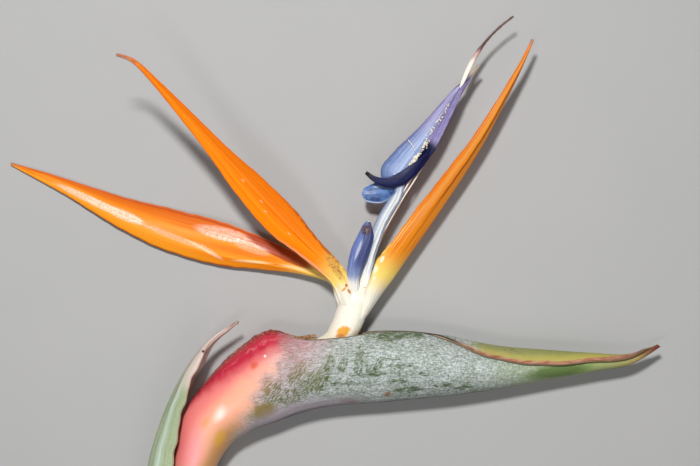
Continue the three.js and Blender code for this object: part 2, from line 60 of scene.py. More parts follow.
camera_data = bpy.data.cameras.new("camera")
camera_data.lens = LENS
camera_data.sensor_width = 36.0
camera = bpy.data.objects.new("camera", camera_data)
camera.location = [c * MM for c in CAMERA_PLACE]
bpy.context.scene.collection.objects.link(camera)
bpy.context.scene.camera = camera
print("camera", tuple(round(c, 3) for c in camera.location))

# %% [markdown]
# ## Curves through stations
# A natural part has few straight lines, yet a handful of cross sections describes it well. Each
# piece is a list of stations, and a Catmull-Rom curve eases every number from one to the next.
# The frame at each row has a direction along the piece, one to its left and one that faces up.

# %% Stations and frames
def cubic(a, b, c, d, t):
    """A number between b and c of four evenly spaced ones, on a smooth curve."""
    slope_b, slope_c = (c - a) / 2, (d - b) / 2
    return (b * (2 * t**3 - 3 * t**2 + 1) + c * (3 * t**2 - 2 * t**3)
            + slope_b * (t**3 - 2 * t**2 + t) + slope_c * (t**3 - t**2))


def stations(names, *rows):
    """Stations from rows of numbers: three for the place, then one for each name, if not missing."""
    return [{"at": row[:3], **dict(zip(names.split(), row[3:]))} for row in rows]


def station_at(line, t):
    """The station at t, from 0 at the first of the line to 1 at its last."""
    last = len(line) - 1
    place = min(max(t, 0.0), 1.0) * last
    i = min(int(place), last - 1)
    rows = [line[min(max(i + k, 0), last)] for k in (-1, 0, 1, 2)]
    return {key: cubic(*(np.asarray(row[key], float) for row in rows), place - i) for key in rows[1]}


def unit(vector):
    return vector / np.linalg.norm(vector)


def sampled(line, steps):
    """Rows at even steps. A roll turns the frame about the curve and lifts its left side."""
    rows = []
    for i in range(steps + 1):
        t = i / steps
        row = station_at(line, t)
        along = unit(station_at(line, t + 0.01)["at"] - station_at(line, t - 0.01)["at"])
        left = unit(np.cross([0, 0, 1], along))
        face = np.cross(along, left)
        roll = math.radians(row.get("roll", 0.0))
        row["t"] = t
        row["along"] = along
        row["left"] = left * math.cos(roll) + face * math.sin(roll)
        row["face"] = face * math.cos(roll) - left * math.sin(roll)
        rows.append(row)
    return rows


def row_on(line, t):
    """One row of a line, for what lies beside it at t."""
    return sampled([station_at(line, t - 0.01), station_at(line, t + 0.01)], 1)[0]


def offset(row, to_left, to_face):
    """Points beside a row's centre. Both distances may be arrays."""
    return row["at"] + np.outer(to_left, row["left"]) + np.outer(to_face, row["face"])


def smooth(x, low, high):
    """0 below low, 1 above high, and an eased step between them."""
    s = np.clip((np.asarray(x, float) - low) / (high - low), 0, 1)
    return s * s * (3 - 2 * s)


def wander(t, seed, waves=(2, 5, 9, 16)):
    """A repeatable wobble of about -1 to 1 along t, for edges that are never quite even."""
    shifts = np.random.default_rng(seed).random(len(waves))
    return sum(np.sin(2 * np.pi * (n * t + s)) for n, s in zip(waves, shifts)) / len(waves) * 1.6


def hump(x, at, width):
    """A rounded bump of height 1 at one place."""
    return np.exp(-(((np.asarray(x, float) - at) / width) ** 2))


print("a curve through 0, 1, 3, 6 is", cubic(0, 1, 3, 6, 0.5), "halfway")

# %% [markdown]
# ## From points to pieces
# Each skin is a grid of points, which gives even quads that shade smoothly. The grid's own
# coordinates are kept on the mesh as attributes: how far along a point is, how far across,
# and on which face. Finishes read them, so a vein follows its petal wherever that bends.

# %% Meshes
def quads_of(rows, columns, first=0, closed=False):
    """Corner numbers of a grid's quads. A closed grid joins its last column to its first."""
    i, j = np.meshgrid(np.arange(rows - 1), np.arange(columns if closed else columns - 1), indexing="ij")
    k = (j + 1) % columns
    quads = np.stack([i * columns + j, (i + 1) * columns + j, (i + 1) * columns + k, i * columns + k], -1)
    return quads.reshape(-1, 4) + first


def make_piece(name, parts, node, finish):
    """One mesh from parts of (points in mm, faces, {attribute: values}), in place of a CAD node."""
    points = np.concatenate([np.asarray(part[0], float).reshape(-1, 3) for part in parts])
    faces, start = [], 0
    for part in parts:
        faces += [tuple(int(c) + start for c in face) for face in part[1]]
        start += np.asarray(part[0]).size // 3
    mesh = bpy.data.meshes.new(name)
    mesh.from_pydata((points * MM).tolist(), [], faces)
    for key in parts[0][2]:
        values = np.concatenate([np.asarray(part[2][key], float).ravel() for part in parts])
        mesh.attributes.new(key, "FLOAT", "POINT").data.foreach_set("value", values)
    mesh.validate()
    mesh.polygons.foreach_set("use_smooth", [True] * len(mesh.polygons))
    mesh.materials.append(finish.material)
    piece = bpy.data.objects.new(name, mesh)
    bpy.context.scene.collection.objects.link(piece)
    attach(piece, "root")
    if node:
        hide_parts(node)
    low, high = points.min(0), points.max(0)
    print(f"{name}: {len(faces)} faces, {np.round(high - low, 1)} mm, lowest {low[2]:.2f}")


def uneven(seed, size=0.02):
    """A ragged outline for a blade, different on its two edges."""
    def ragged(t, v):
        return size * np.where(v > 0, wander(t, seed, (3, 7, 13, 29)), wander(t, seed + 1, (4, 9, 15, 31)))
    return ragged


def sheet_part(front, back, across, extra=None):
    """A thin sheet between two grids of points. across is -1 to 1 from its right edge to its left."""
    rows, columns = front.shape[:2]
    count = rows * columns
    rim = ([j for j in range(columns - 1)]
           + [i * columns + columns - 1 for i in range(rows - 1)]
           + [(rows - 1) * columns + j for j in range(columns - 1, 0, -1)]
           + [i * columns for i in range(rows - 1, 0, -1)])
    faces = quads_of(rows, columns).tolist()
    faces += [[d, c, b, a] for a, b, c, d in quads_of(rows, columns, count).tolist()]
    faces += [[p, q, count + q, count + p] for p, q in zip(rim, rim[1:] + rim[:1])]
    along = np.repeat(np.linspace(0, 1, rows), columns)
    sides = np.repeat([1.0, -1.0], count)
    values = {"along": np.tile(along, 2), "across": np.tile(np.asarray(across).ravel(), 2), "side": sides}
    for key, grid in (extra or {}).items():
        values[key] = np.tile(np.asarray(grid).ravel(), 2)
    return np.concatenate([front.reshape(-1, 3), back.reshape(-1, 3)]), faces, values


KEEL_SOFTNESS = 0.12  # how round the crease of a keel is
EDGE_CROWDING = 1.35  # 1 spaces the columns evenly, more moves them to both edges


def blade_part(line, steps, columns, thick, keel=0.0, relief=None, ragged=None, edge=0.45):
    """A leaf-like blade. half is its half width, wrap the angle that each half turns through,
    and fold adds a crease at keel. relief lifts the surface, ragged changes its two edges,
    and edge is how much of its thickness is left at the rim. A station's own thick makes the
    blade fleshy there, with a rounded section."""
    v = np.linspace(-1, 1, columns + 1)
    # The columns crowd towards both edges, where a blade curves most.
    v = np.sign(v) * (1 - (1 - np.abs(v)) ** EDGE_CROWDING)
    front, back, spans = [], [], []
    for row in sampled([{"thick": thick, **station} for station in line], steps):
        turn = math.radians(row["wrap"] if abs(row["wrap"]) >= 1 else 1.0)
        wide = 1 + (ragged(row["t"], v) if ragged else 0.0)
        half = row["half"]
        radius = half / turn
        fold = row.get("fold", 0.0)
        w = v * wide
        x = radius * np.sin(turn * w)
        crease = np.hypot(w - keel, KEEL_SOFTNESS) - KEEL_SOFTNESS
        y = radius * (1 - np.cos(turn * w)) + fold * half * crease
        if relief:
            y = y + relief(row["t"], v)
        slope_x, slope_y = np.gradient(x), np.gradient(y)
        length = np.hypot(slope_x, slope_y)
        stout = row["thick"]
        fleshy = float(smooth(stout, 1.0, 3.0))
        rim_share = edge * min(1.0, thick / stout)
        rounded = np.sqrt(1 - np.abs(v) ** (6 - 4 * fleshy))
        reach = min(stout, 2 * half) / 2 * (rim_share + (1 - rim_share) * rounded)
        nx, ny = -slope_y / length * reach, slope_x / length * reach
        front.append(offset(row, x + nx, y + ny))
        back.append(offset(row, x - nx, y - ny))
        spans.append(v)
    return sheet_part(np.array(front), np.array(back), np.array(spans))


def stem_part(rows, sides, flute=None, dome=(0.0, 0.0)):
    """A closed stem through oval sections. dome is how far each end bulges, in half widths."""
    turn = np.arange(sides) * 2 * np.pi / sides
    rings, along, around = [], [], []

    def ring(row, scale, push):
        reach = (flute(row["t"], turn) if flute else 1.0) * scale
        points = offset(row, row["wide"] * reach * np.cos(turn), row["deep"] * reach * np.sin(turn))
        rings.append(points + row["along"] * push)
        along.append(np.full(sides, row["t"]))
        around.append(turn / np.pi)

    caps = [math.radians(a) for a in (84, 66, 44, 20)]
    for a in caps:
        ring(rows[0], math.cos(a), -dome[0] * rows[0]["wide"] * math.sin(a))
    for row in rows:
        ring(row, 1.0, 0.0)
    for a in reversed(caps):
        ring(rows[-1], math.cos(a), dome[1] * rows[-1]["wide"] * math.sin(a))
    faces = quads_of(len(rings), sides, closed=True)[:, ::-1].tolist()
    end = (len(rings) - 1) * sides
    faces += [list(range(sides))[::-1], list(range(end, end + sides))]
    faces = [face[::-1] for face in faces]
    values = {"along": np.concatenate(along), "across": np.concatenate(around),
              "side": np.ones(len(along) * sides)}
    return np.concatenate(rings), faces, values

# %% [markdown]
# ## Floor and light
# A pale, matt floor shows the flower's own colours best. One large soft light above the tips
# models the forms and lays short shadows towards the stalk, a weaker, wider one opens them, and
# a small faint one is placed where the waxy bend mirrors it, as a single soft highlight.

# %% Floor and light
FLOOR_HALF = 3.0  # metres


def soft_light(name, place, size, watts, target=(0.0, 10.0, 10.0)):
    """A square light that faces the flower. Places and sizes are in mm."""
    data = bpy.data.lights.new(name, "AREA")
    data.size = size * MM
    data.energy = watts
    light = bpy.data.objects.new(name, data)
    place, target = (np.array(p, float) * MM for p in (place, target))
    light.location = place
    away = place - target
    light.rotation_euler = (math.acos(away[2] / np.linalg.norm(away)), 0, math.atan2(away[0], -away[1]))
    bpy.context.scene.collection.objects.link(light)
    print(f"{name}: {watts} W at {np.round(place, 2)}")


soft_light("key_light", (-60, 290, 640), 70, 4.4)
soft_light("fill_light", (240, -380, 620), 500, 0.8)
soft_light("gloss_light", (-123, -153, 600), 110, 0.45)

world = bpy.data.worlds.new("soft_room")
world.use_nodes = True
world.node_tree.nodes["Background"].inputs["Color"].default_value = (0.95, 0.97, 1.0, 1.0)
world.node_tree.nodes["Background"].inputs["Strength"].default_value = 0.1
bpy.context.scene.world = world
bpy.context.scene.view_settings.view_transform = "Standard"

floor_mesh = bpy.data.meshes.new("floor")
corners = [(x * FLOOR_HALF, y * FLOOR_HALF, 0) for x, y in ((-1, -1), (1, -1), (1, 1), (-1, 1))]
floor_mesh.from_pydata(corners, [], [(0, 1, 2, 3)])
floor = bpy.data.objects.new("floor", floor_mesh)
bpy.context.scene.collection.objects.link(floor)

# %% [markdown]
# ## Finishes as expressions
# A finish is a shader: nodes that turn a place on the surface into a colour, a gloss and a
# small relief. Written out node by node that is hard to read, so a small class stands for one
# number on its way through the nodes, and Python's own operators add the Math nodes.

# %% A number that varies over a surface
class Field:
    """One socket of a finish. field * 2 + 1 adds two Math nodes and gives another Field."""

    def __init__(self, finish, socket):
        self.finish, self.socket = finish, socket

    def _math(self, operation, *values):
        return self.finish.node("Math", {"operation": operation}, dict(enumerate(values)))

    def __add__(self, other):
        return self._math("ADD", self, other)

    def __radd__(self, other):
        return self._math("ADD", other, self)

    def __sub__(self, other):
        return self._math("SUBTRACT", self, other)

    def __rsub__(self, other):
        return self._math("SUBTRACT", other, self)

    def __mul__(self, other):
        return self._math("MULTIPLY", self, other)

    def __rmul__(self, other):
        return self._math("MULTIPLY", other, self)

    def __abs__(self):
        return self._math("ABSOLUTE", self)

    def between(self, low, high):
        """0 where the field is below low, 1 above high, with a soft step. low may be the larger."""
        return self.finish.node("MapRange", {"interpolation_type": "SMOOTHSTEP"},
                                {"Value": self, "From Min": low, "From Max": high})

    def near(self, at, width):
        """1 where the field is at one value, falling to 0 at width away from it."""
        return abs(self - at).between(width, 0)


def paint(code):
    """A colour as shader nodes want it, from its usual #rrggbb."""
    parts = [int(code[i:i + 2], 16) / 255 for i in (1, 3, 5)]
    return [p / 12.92 if p <= 0.04045 else ((p + 0.055) / 1.055) ** 2.4 for p in parts] + [1.0]


print("middle grey is", round(paint("#808080")[0], 3), "in linear light")

# %% [markdown]
# ## What every finish can ask for
# All finishes need the same few things: the place in the flower, in millimetres, the piece's
# own along and across, noise at a real size, and soft-edged marks. The class below gives them.
# Noise is made in three dimensions, so it has no seams and needs no unwrapping.

# %% One finish
THROUGH = 1e4  # mm, so a mark reaches through the whole flower


class Finish:
    """A material with one Principled shader. constants are set on the shader's own sockets."""

    def __init__(self, name, **constants):
        self.material = bpy.data.materials.new(name)
        self.material.use_nodes = True
        self.tree = self.material.node_tree
        self.tree.nodes.clear()
        self.shader = self.tree.nodes.new("ShaderNodeBsdfPrincipled")
        output = self.tree.nodes.new("ShaderNodeOutputMaterial")
        self.tree.links.new(self.shader.outputs[0], output.inputs["Surface"])
        for key, value in constants.items():
            self.shader.inputs[key.replace("_", " ").title().replace("Ior", "IOR")].default_value = value
        self.along, self.across, self.side = (self.named(key) for key in ("along", "across", "side"))
        self.place = self.node("VectorMath", {"operation": "SCALE"}, {
            "Vector": self.node("TexCoord", output=3), "Scale": 1 / MM})
        self.x, self.y, self.z = (self.node("SeparateXYZ", {}, {0: self.place}, output=k) for k in range(3))

    def node(self, kind, settings=None, inputs=None, output=0):
        """Adds one node: its settings first, then the values or links of its sockets."""
        node = self.tree.nodes.new("ShaderNode" + kind)
        for key, value in (settings or {}).items():
            setattr(node, key, value)
        for key, value in (inputs or {}).items():
            if isinstance(value, Field):
                self.tree.links.new(value.socket, node.inputs[key])
            else:
                node.inputs[key].default_value = value
        return Field(self, node.outputs[output])

    def named(self, attribute):
        """A number kept on the mesh's points."""
        return self.node("Attribute", {"attribute_name": attribute}, output=2)

    def mix(self, a, b, factor):
        """Colour a where factor is 0 and b where it is 1."""
        a, b = (paint(c) if isinstance(c, str) else c for c in (a, b))
        return self.node("Mix", {"data_type": "RGBA"}, {0: factor, 6: a, 7: b}, output=2)

    def over(self, colour, *layers):
        """A colour with layers of (colour, mask) laid over it, one after the other."""
        for top, mask in layers:
            colour = self.mix(colour, top, mask)
        return colour

    def noise(self, size, detail=3.0, where=None, rough=0.55):
        """Noise of about 0 to 1 whose spots are size mm across, or sized in where's own units."""
        return self.node("TexNoise", {}, {"Vector": where or self.place, "Scale": 1 / size,
                                          "Detail": detail, "Roughness": rough})

    def strung(self, long, fine):
        """Coordinates drawn out along the piece: long units to its length, fine across it."""
        return self.node("CombineXYZ", {}, {0: self.along * long, 1: self.across * fine, 2: self.side})

    def fibres(self, long, fine, detail=3, rough=0.55):
        """Noise in streaks that follow the piece."""
        return self.noise(1.0, detail, self.strung(long, fine), rough)

    def mark(self, x, y, long, short, turn=0.0, ragged=0.0, grain=2.0, above=MID - 0.5):
        """A soft oval mark, 1 at its middle and 0 at its rim, on what lies above a height. All in mm."""
        where = self.place
        if ragged:
            jitter = self.node("TexNoise", {}, {"Vector": self.place, "Scale": 1 / grain, "Detail": 3.0}, 1)
            jitter = self.node("VectorMath", {"operation": "SUBTRACT"}, {0: jitter, 1: (0.5, 0.5, 0.5)})
            jitter = self.node("VectorMath", {"operation": "SCALE"}, {"Vector": jitter, "Scale": ragged * 2})
            where = self.node("VectorMath", {"operation": "ADD"}, {0: where, 1: jitter})
        local = self.node("Mapping", {"vector_type": "TEXTURE"}, {
            "Vector": where, "Location": (x, y, MID), "Rotation": (0, 0, math.radians(turn)),
            "Scale": (long, short, THROUGH)})
        oval = self.node("TexGradient", {"gradient_type": "SPHERICAL"}, {0: local}, 1)
        return oval * self.z.between(above - 1.5, above + 1.5)

    def drawn(self, turn, long, fine):
        """Places in mm divided by long in one direction of the flower's plane, and by fine across it."""
        return self.node("Mapping", {"vector_type": "TEXTURE"}, {
            "Vector": self.place, "Rotation": (0, 0, math.radians(turn)), "Scale": (long, fine, fine)})

    def most(self, *fields):
        """The larger of two fields at each place."""
        return self.node("Math", {"operation": "MAXIMUM"}, dict(enumerate(fields)))

    def least(self, *fields):
        """The smaller of two fields at each place."""
        return self.node("Math", {"operation": "MINIMUM"}, dict(enumerate(fields)))

    def relief(self, height, millimetres):
        """A small relief: height 1 stands that many mm proud."""
        bump = self.node("Bump", {}, {"Height": height, "Distance": millimetres * MM, "Strength": 1.0})
        self.tree.links.new(bump.socket, self.shader.inputs["Normal"])

    def set(self, **fields):
        """Links the fields that may vary: base_color, roughness, coat_weight."""
        for key, value in fields.items():
            self.tree.links.new(value.socket, self.shader.inputs[key.replace("_", " ").title()])

# %% [markdown]
# ### Floor finish
# The floor is only there to carry the soft shadows, so it is matt and nearly even. A single colour
# would look drawn. Noise between two close greys is enough to make it read as a surface.

# %% A matt grey for the floor
f = Finish("floor_paper", roughness=0.9)
f.set(base_color=f.mix("#adadac", "#b2b1b0", f.noise(40)))
floor_mesh.materials.append(f.material)
print("floor", f.material.name)

# %% [markdown]
# ## Stalk
# The stalk is a plain fleshy stem as thick as a thumb. It is a stem through oval sections, with
# a very slight waviness, and it narrows where it enters the spathe. Its lower end is a fresh
# cut: flat, paler than the skin and dotted with the ends of its fibres.

# %% Stalk
FLUTES, FLUTE_DEPTH = 9, 0.012  # how many ridges, and their share of the radius
STALK_RADIUS, NECK_RADIUS = 7.2, 5.2
STALK_LINE = stations("wide deep",
    (-71.5, -124, 7.22, 7.3, 7.25), (-64.6, -100, 8.0, 7.25, 7.25), (-58.4, -76, 9.05, 7.2, 7.2),
    (-52.8, -56, 9.85, 7.2, 7.2), (-48.9, -42.3, MID, STALK_RADIUS, STALK_RADIUS))
NECK_LINE = stations("wide deep",
    (-48.9, -42.3, MID, NECK_RADIUS, NECK_RADIUS), (-45.9, -31.5, MID, NECK_RADIUS, NECK_RADIUS),
    (-42.6, -22.0, MID, 5.7, 5.5), (-38.3, -15.6, MID, 6.6, 6.1), (-34.0, -11.5, MID, 6.5, 6.2))


def stalk_flute(t, turn):
    """Very shallow lengthwise ridges, as a fleshy stem dries."""
    return 1 - FLUTE_DEPTH * (0.5 + 0.5 * np.sin(FLUTES * turn + 2 * math.sin(5 * t))) * smooth(t, 0, 0.05)


f = Finish("stalk_skin", roughness=0.42, coat_roughness=0.3)
streak = f.fibres(2.0, 14.0)
stalk_skin = f.mix("#7d8f55", "#93a36c", streak)
blush = f.y.between(-92, -42)
stalk_skin = f.mix(stalk_skin, f.mix("#c9896a", "#b56a58", streak), blush * 0.9)
stalk_skin = f.mix(stalk_skin, "#5e5134", f.noise(1.6, 4).between(0.64, 0.72) * 0.5)
cut = f.y.between(-123.0, -124.2)
stalk_skin = f.mix(stalk_skin, f.mix("#c9c48e", "#8d7a45", f.noise(1.1, 2).between(0.5, 0.62)), cut)
f.set(base_color=stalk_skin, roughness=0.36 + streak * 0.16)
f.relief(streak, 0.25)

make_piece("stalk", [
    stem_part(sampled(STALK_LINE, 150), 96, stalk_flute, dome=(0.06, 0.06)),
    stem_part(sampled(NECK_LINE, 60), 64),
], "scape", f)

# %% [markdown]
# ## Spathe
# The spathe is one stiff, boat-shaped bract that turns off the stalk and ends in a long beak.
# Its two margins meet on top, part where the flower rises, and wrap over each other along
# the beak. It is drawn as one sheet whose sections run from the near margin, round the keel
# and back to the far margin, so the overlap is real and its rim casts a true shadow.

# %% Spathe stations
# Each row: the keel's x and y, the top's x and y, and the five numbers named below.
SPATHE_PARTS = ("deep", "sharp", "wall", "open", "flap")
SPATHE_ROWS = (
    (-41.8, -44.0, -55.9, -40.0, 7.2, 1, 1.6, 0.2, 0), (-38.4, -32.0, -52.6, -27.2, 7.5, 1, 1.6, 0.2, 0),
    (-33.2, -24.2, -49.9, -14.3, 8.3, 1, 1.6, 0.2, 0), (-26.4, -19.8, -43.6, -5.2, 9.2, 1, 1.6, 0.2, 0),
    (-18.4, -16.9, -33.6, 5.2, 9.9, 1.05, 1.6, 0.25, 0),
    (-10.6, -14.1, -20.8, 13.4, 10.3, 1.1, 1.6, 0.6, 0),
    (-1.6, -11.9, -9.0, 11.5, 10.4, 1.15, 1.6, 4.6, 0), (8.0, -10.8, 3.4, 12.1, 10.4, 1.2, 1.6, 5.6, 0),
    (19.4, -10.1, 16.6, 13.8, 10.3, 1.25, 1.6, 3.6, 0), (31.6, -9.0, 30.6, 13.5, 9.8, 1.3, 1.6, 1.4, 0),
    (44.0, -7.6, 44.0, 10.2, 8.4, 1.3, 1.5, 0.1, 36), (58.0, -5.6, 58.0, 7.5, 6.3, 1.3, 1.3, 0, 62),
    (74.0, -2.6, 74.0, 6.2, 4.4, 1.25, 1.2, 0, 80), (90.0, 0.3, 90.0, 5.2, 2.7, 1.15, 1.1, 0, 78),
    (102.4, 2.7, 102.0, 5.0, 1.5, 1, 0.95, 0, 56), (112.3, 8.6, 111.3, 9.4, 0.75, 1, 0.6, 0.05, 0))
SPATHE = [{"keel": row[:2], "top": row[2:4], **dict(zip(SPATHE_PARTS, row[4:]))} for row in SPATHE_ROWS]
FLAP_WALL, GAP, MARGIN_GAP = 0.9, 0.3, 0.2
TUCK = math.radians(12)  # how far the near margin stops short under the flap
SEAM_FROM, SEAM_PEAK, SEAM_TO, SEAM_HEIGHT = 0.16, 0.333, 0.375, 0.9
FLAP_FULL = math.radians(34)  # a flap this wide counts as closed
LIFT_FROM, LIFT_TO = math.radians(120), math.radians(170)  # where the far margin rises off the near one
RIBS, RIB_HEIGHT, DENT_HEIGHT = 26, 0.045, 0.12


# %% [markdown]
# ### Spathe sheet
# A real spathe is one leaf, folded along its keel, with both margins on top. It could be a solid
# with a slot cut in it, but then one margin could not lie over the other. So each section is a
# run of angles from one margin round the keel to the other, with an outer and an inner face.

# %% Spathe sheet
def spathe_points(section, angle, rim, scale):
    """Points of a section at angles from its keel, scaled about the section's middle."""
    rise = (1 - np.cos(angle)) / (1 - math.cos(rim))
    lift = ((rise - 0.5) * scale + 0.5)[:, None]
    sine = np.sin(angle)
    bulge = section["deep"] * np.sign(sine) * np.abs(sine) ** section["sharp"] * scale
    flat = section["keel"] * (1 - lift) + section["top"] * lift
    return np.column_stack([flat, np.maximum(MID + bulge, 0)])


def spathe_part(steps, columns):
    outer, inner, rounds, far_edge, near_edge = [], [], [], [], []
    u = np.linspace(0, 1, columns + 1)
    for i in range(steps + 1):
        t = i / steps
        section = station_at(SPATHE, t)
        height = float(np.linalg.norm(section["top"] - section["keel"]))
        small = min(section["deep"], height / 2)
        part_way = min(max(section["open"], MARGIN_GAP) / section["deep"], 0.9)
        slit = math.asin(part_way ** (1 / section["sharp"]))
        flap = math.radians(max(section["flap"], 0))
        flapped = float(smooth(flap, 0, FLAP_FULL))
        rim = math.pi - slit * (1 - flapped)
        near_end = math.pi - slit - flapped * TUCK
        far_end = rim + flap * (1 + 0.05 * wander(t, 4))
        wall = min(section["wall"], small * 0.7)
        flap_wall = min(FLAP_WALL, wall)
        spread = (flap_wall + GAP + 0.1) / small
        ridged = float(smooth(t, SEAM_FROM, SEAM_PEAK) * (1 - smooth(t, SEAM_PEAK, SEAM_TO)))
        angle = -far_end + (near_end + far_end) * u
        wrapped = smooth(-angle, LIFT_FROM, LIFT_TO) * flapped
        top = smooth(np.abs(angle), math.radians(150), math.pi)
        crest = top * 2 * SEAM_HEIGHT * ridged / height
        # The crest is rough where both margins are fused, and each has its own dents.
        torn = np.where(angle < 0, wander(t, 11, (23, 41, 67)), wander(t, 12, (19, 37, 71)))
        rough = top * ridged * 0.16 * torn
        waves = np.cos(angle * RIBS + 3 * wander(t, 5, (1, 2)))
        ribs = RIB_HEIGHT * waves * (1 - top) * float(smooth(t, 0.24, 0.34))
        dents = DENT_HEIGHT * np.sin(angle * 3 + 9 * t) * math.sin(21 * t + 1) * math.sin(math.pi * t)
        swell = (rough + ribs + dents) / small
        thick = (wall * (1 - wrapped) + flap_wall * wrapped) / small
        # Both margins thin out to a blunt rim.
        from_far, from_near = (angle + far_end) * small, (near_end - angle) * small
        thick = thick * (0.45 + 0.55 * smooth(np.minimum(from_far, from_near), -0.3, 1.2))
        outer.append(spathe_points(section, angle, rim, 1 + spread * wrapped + crest + swell))
        inner.append(spathe_points(section, angle, rim, 1 + spread * wrapped + swell * 0.5 - thick))
        rounds.append(angle / math.pi)
        far_edge.append(from_far)
        near_edge.append(from_near)
    return sheet_part(np.array(outer), np.array(inner), np.array(rounds),
                      {"far_edge": np.array(far_edge), "near_edge": np.array(near_edge)})


spathe_sheet = spathe_part(420, 100)
print("spathe:", len(spathe_sheet[1]), "quads")

# %% [markdown]
# ### Spathe finish
# Three things colour a spathe: the green skin, a grey waxy bloom that rubs off in patches,
# and the red flush where light reaches the bend. Each is a layer with its own mask. The masks
# follow the plant: the flush runs round the outer side of the bend, the rubbed patches lie
# where a hand would hold it, and thin red lines follow both margins.

# %% Spathe finish
f = Finish("spathe_skin", roughness=0.5, coat_roughness=0.3)
far_edge, near_edge = f.named("far_edge"), f.named("near_edge")
top_ness = abs(f.across)

# Green skin under a bloom of fine grains that lie in lengthwise rows.
streak = f.fibres(60, 46, 4, 0.6)
row_grain = f.fibres(110, 70, 4, 0.75)
grain = f.noise(0.5, 4, rough=0.75)
cloud = f.noise(9, 3)
smooth_end = f.x.between(40, 66)
skin = f.mix("#4e6040", "#77876a", streak)
skin = f.mix(skin, "#98a862", f.x.between(38, 84))
bloom = f.mix("#93a09b", "#dde3e2", f.noise(0.9, 4, rough=0.75).between(0.36, 0.64))
bloom = f.mix(bloom, "#c8b6b8", f.x.between(14, -12) * f.y.between(-8, 6) * 0.8)
bloom = f.mix(bloom, "#ccbabd", f.x.between(-2, -16) * 0.7)
bloom_on = (grain * 0.7 + row_grain * 1.0 + cloud * 0.5).between(0.86, 1.2)
bloom_on = bloom_on * (1 - f.x.between(50, 84) * 0.9)

# Where the bloom is rubbed off: slanting smears and a few lengthwise scratches.
smears = [  # x, y, half length, half width, turn
    (-4.6, -2.2, 7.0, 4.6, 30), (-10.8, 1.0, 5.4, 3.2, 60), (-1.0, 2.4, 5.0, 2.6, 62),
    (4.6, 3.4, 3.6, 1.8, 65),
    (9.8, 4.6, 6.4, 1.9, 84), (15.4, 3.0, 4.0, 1.8, 40), (-18.7, -5.8, 6.0, 3.4, 70),
    (-12, -7.0, 8.0, 3.0, 20),
]
scratches = [
    (20.0, 5.6, 4.6, 0.8, -4), (20.6, 12.5, 6.0, 1.8, 0), (28.0, 12.9, 4.6, 1.3, -4),
    (13.0, 0.2, 8.0, 1.0, 3),
    (4.5, -2.9, 7.6, 0.8, -2), (26.5, -5.2, 6.6, 1.1, 4), (38.0, -3.7, 4.2, 1.0, 0),
    (44.4, -4.6, 4.4, 0.9, 4),
    (31.4, 0.2, 2.4, 0.9, 0), (23.5, -1.9, 4.0, 0.5, 2), (24.0, 3.0, 5.0, 0.5, 2),
]
slant = f.noise(1.0, 4, f.drawn(58, 2.2, 0.55), 0.65).between(0.38, 0.6)
lengthwise = f.noise(1.0, 4, f.drawn(3, 2.4, 0.4), 0.65).between(0.36, 0.58)
bare = f.mark(-5.0, -2.0, 6.0, 3.2, 28, 1.6, 1.4).between(0.1, 0.6) * 0.55
for marks, broken in ((smears, slant), (scratches, lengthwise)):
    for x, y, long, short, turn in marks:
        worn = f.mark(x, y, long, short, turn, 1.4, 1.6).between(0.0, 0.4) * broken
        bare = f.most(bare, worn)
bloom_on = bloom_on * (1 - bare)
worn_skin = f.mix(f.mix("#4f5f1e", "#374d22", streak), "#67682a", f.x.between(2, -6))
body = f.mix(skin, worn_skin, bare * 0.9)
body = f.mix(body, bloom, bloom_on * 0.9)
dark_grain = f.noise(1.0, 3, f.drawn(5, 1.0, 0.5), 0.8).between(0.54, 0.66)
dark_grain = dark_grain * f.noise(7, 2).between(0.36, 0.62)
low_down = 0.45 + f.y.between(6, -8) * 0.55
body = f.mix(body, "#2f3b33", dark_grain * low_down * 0.9 * (1 - smooth_end * 0.8))
scribble = f.noise(1.0, 4, f.drawn(8, 2.2, 0.4), 0.75).between(0.54, 0.63) * (1 - smooth_end * 0.7)
body = f.mix(body, "#39463c", scribble * 0.65)
chalk = f.noise(1.0, 3, f.drawn(5, 2.6, 0.45), 0.7).between(0.56, 0.64) * (1 - smooth_end * 0.8)
body = f.over(body,
    ("#e4e9e9", chalk * (1 - bare) * 0.5),
    ("#8d5a34", f.mark(19.4, -6.9, 1.8, 1.2, 50, 0.5).between(0.1, 0.6) * 0.8),
    ("#7c5a3c", f.mark(6.2, -9.3, 4.4, 1.6, 4, 0.9).between(0.1, 0.7) * 0.8))

# Flush of the bend: crimson along the outer side, salmon below it, ochre and mauve on the inner.
over = 0.888 * (f.x + 13) - 0.46 * (f.y - 12) + (f.noise(5, 4) - 0.5) * 10 - f.y.between(-20, -34) * 16
flush = over.between(3.0, -6.0)
salmon = f.mix("#ffb890", "#ffa88c", f.noise(7, 2))
salmon = f.over(salmon,
    ("#ffa0a2", f.mark(-46.5, -28, 18, 5.5, 75).between(0.0, 0.8) * 0.9),
    ("#bd8a4e", (top_ness + (cloud - 0.5) * 0.1).between(0.5, 0.26) * f.along.between(0.28, 0.16) * 0.85),
    ("#d9a03e", f.mark(-36.9, -21.4, 4.8, 2.6, 70, 0.5).between(0.05, 0.7) * 0.9),
    ("#f0a25c", f.mark(-41.6, -16.2, 3.4, 1.8, 60, 0.5).between(0.1, 0.9) * 0.7),
    ("#f0747a", (top_ness + (f.noise(5, 2) - 0.5) * 0.1).between(0.52, 0.74) * 0.8))
crimson_on = (top_ness + (f.noise(4, 2) - 0.5) * 0.12 - f.along.between(0.27, 0.14) * 0.2).between(0.62, 0.8)
salmon = f.mix(salmon, f.mix("#d8234a", "#b3122f", f.noise(1.6, 3)), crimson_on * 0.96)
seam_dark = (top_ness + (f.noise(0.9, 4) - 0.5) * 0.16).between(0.84, 0.95) * f.along.between(0.1, 0.22)
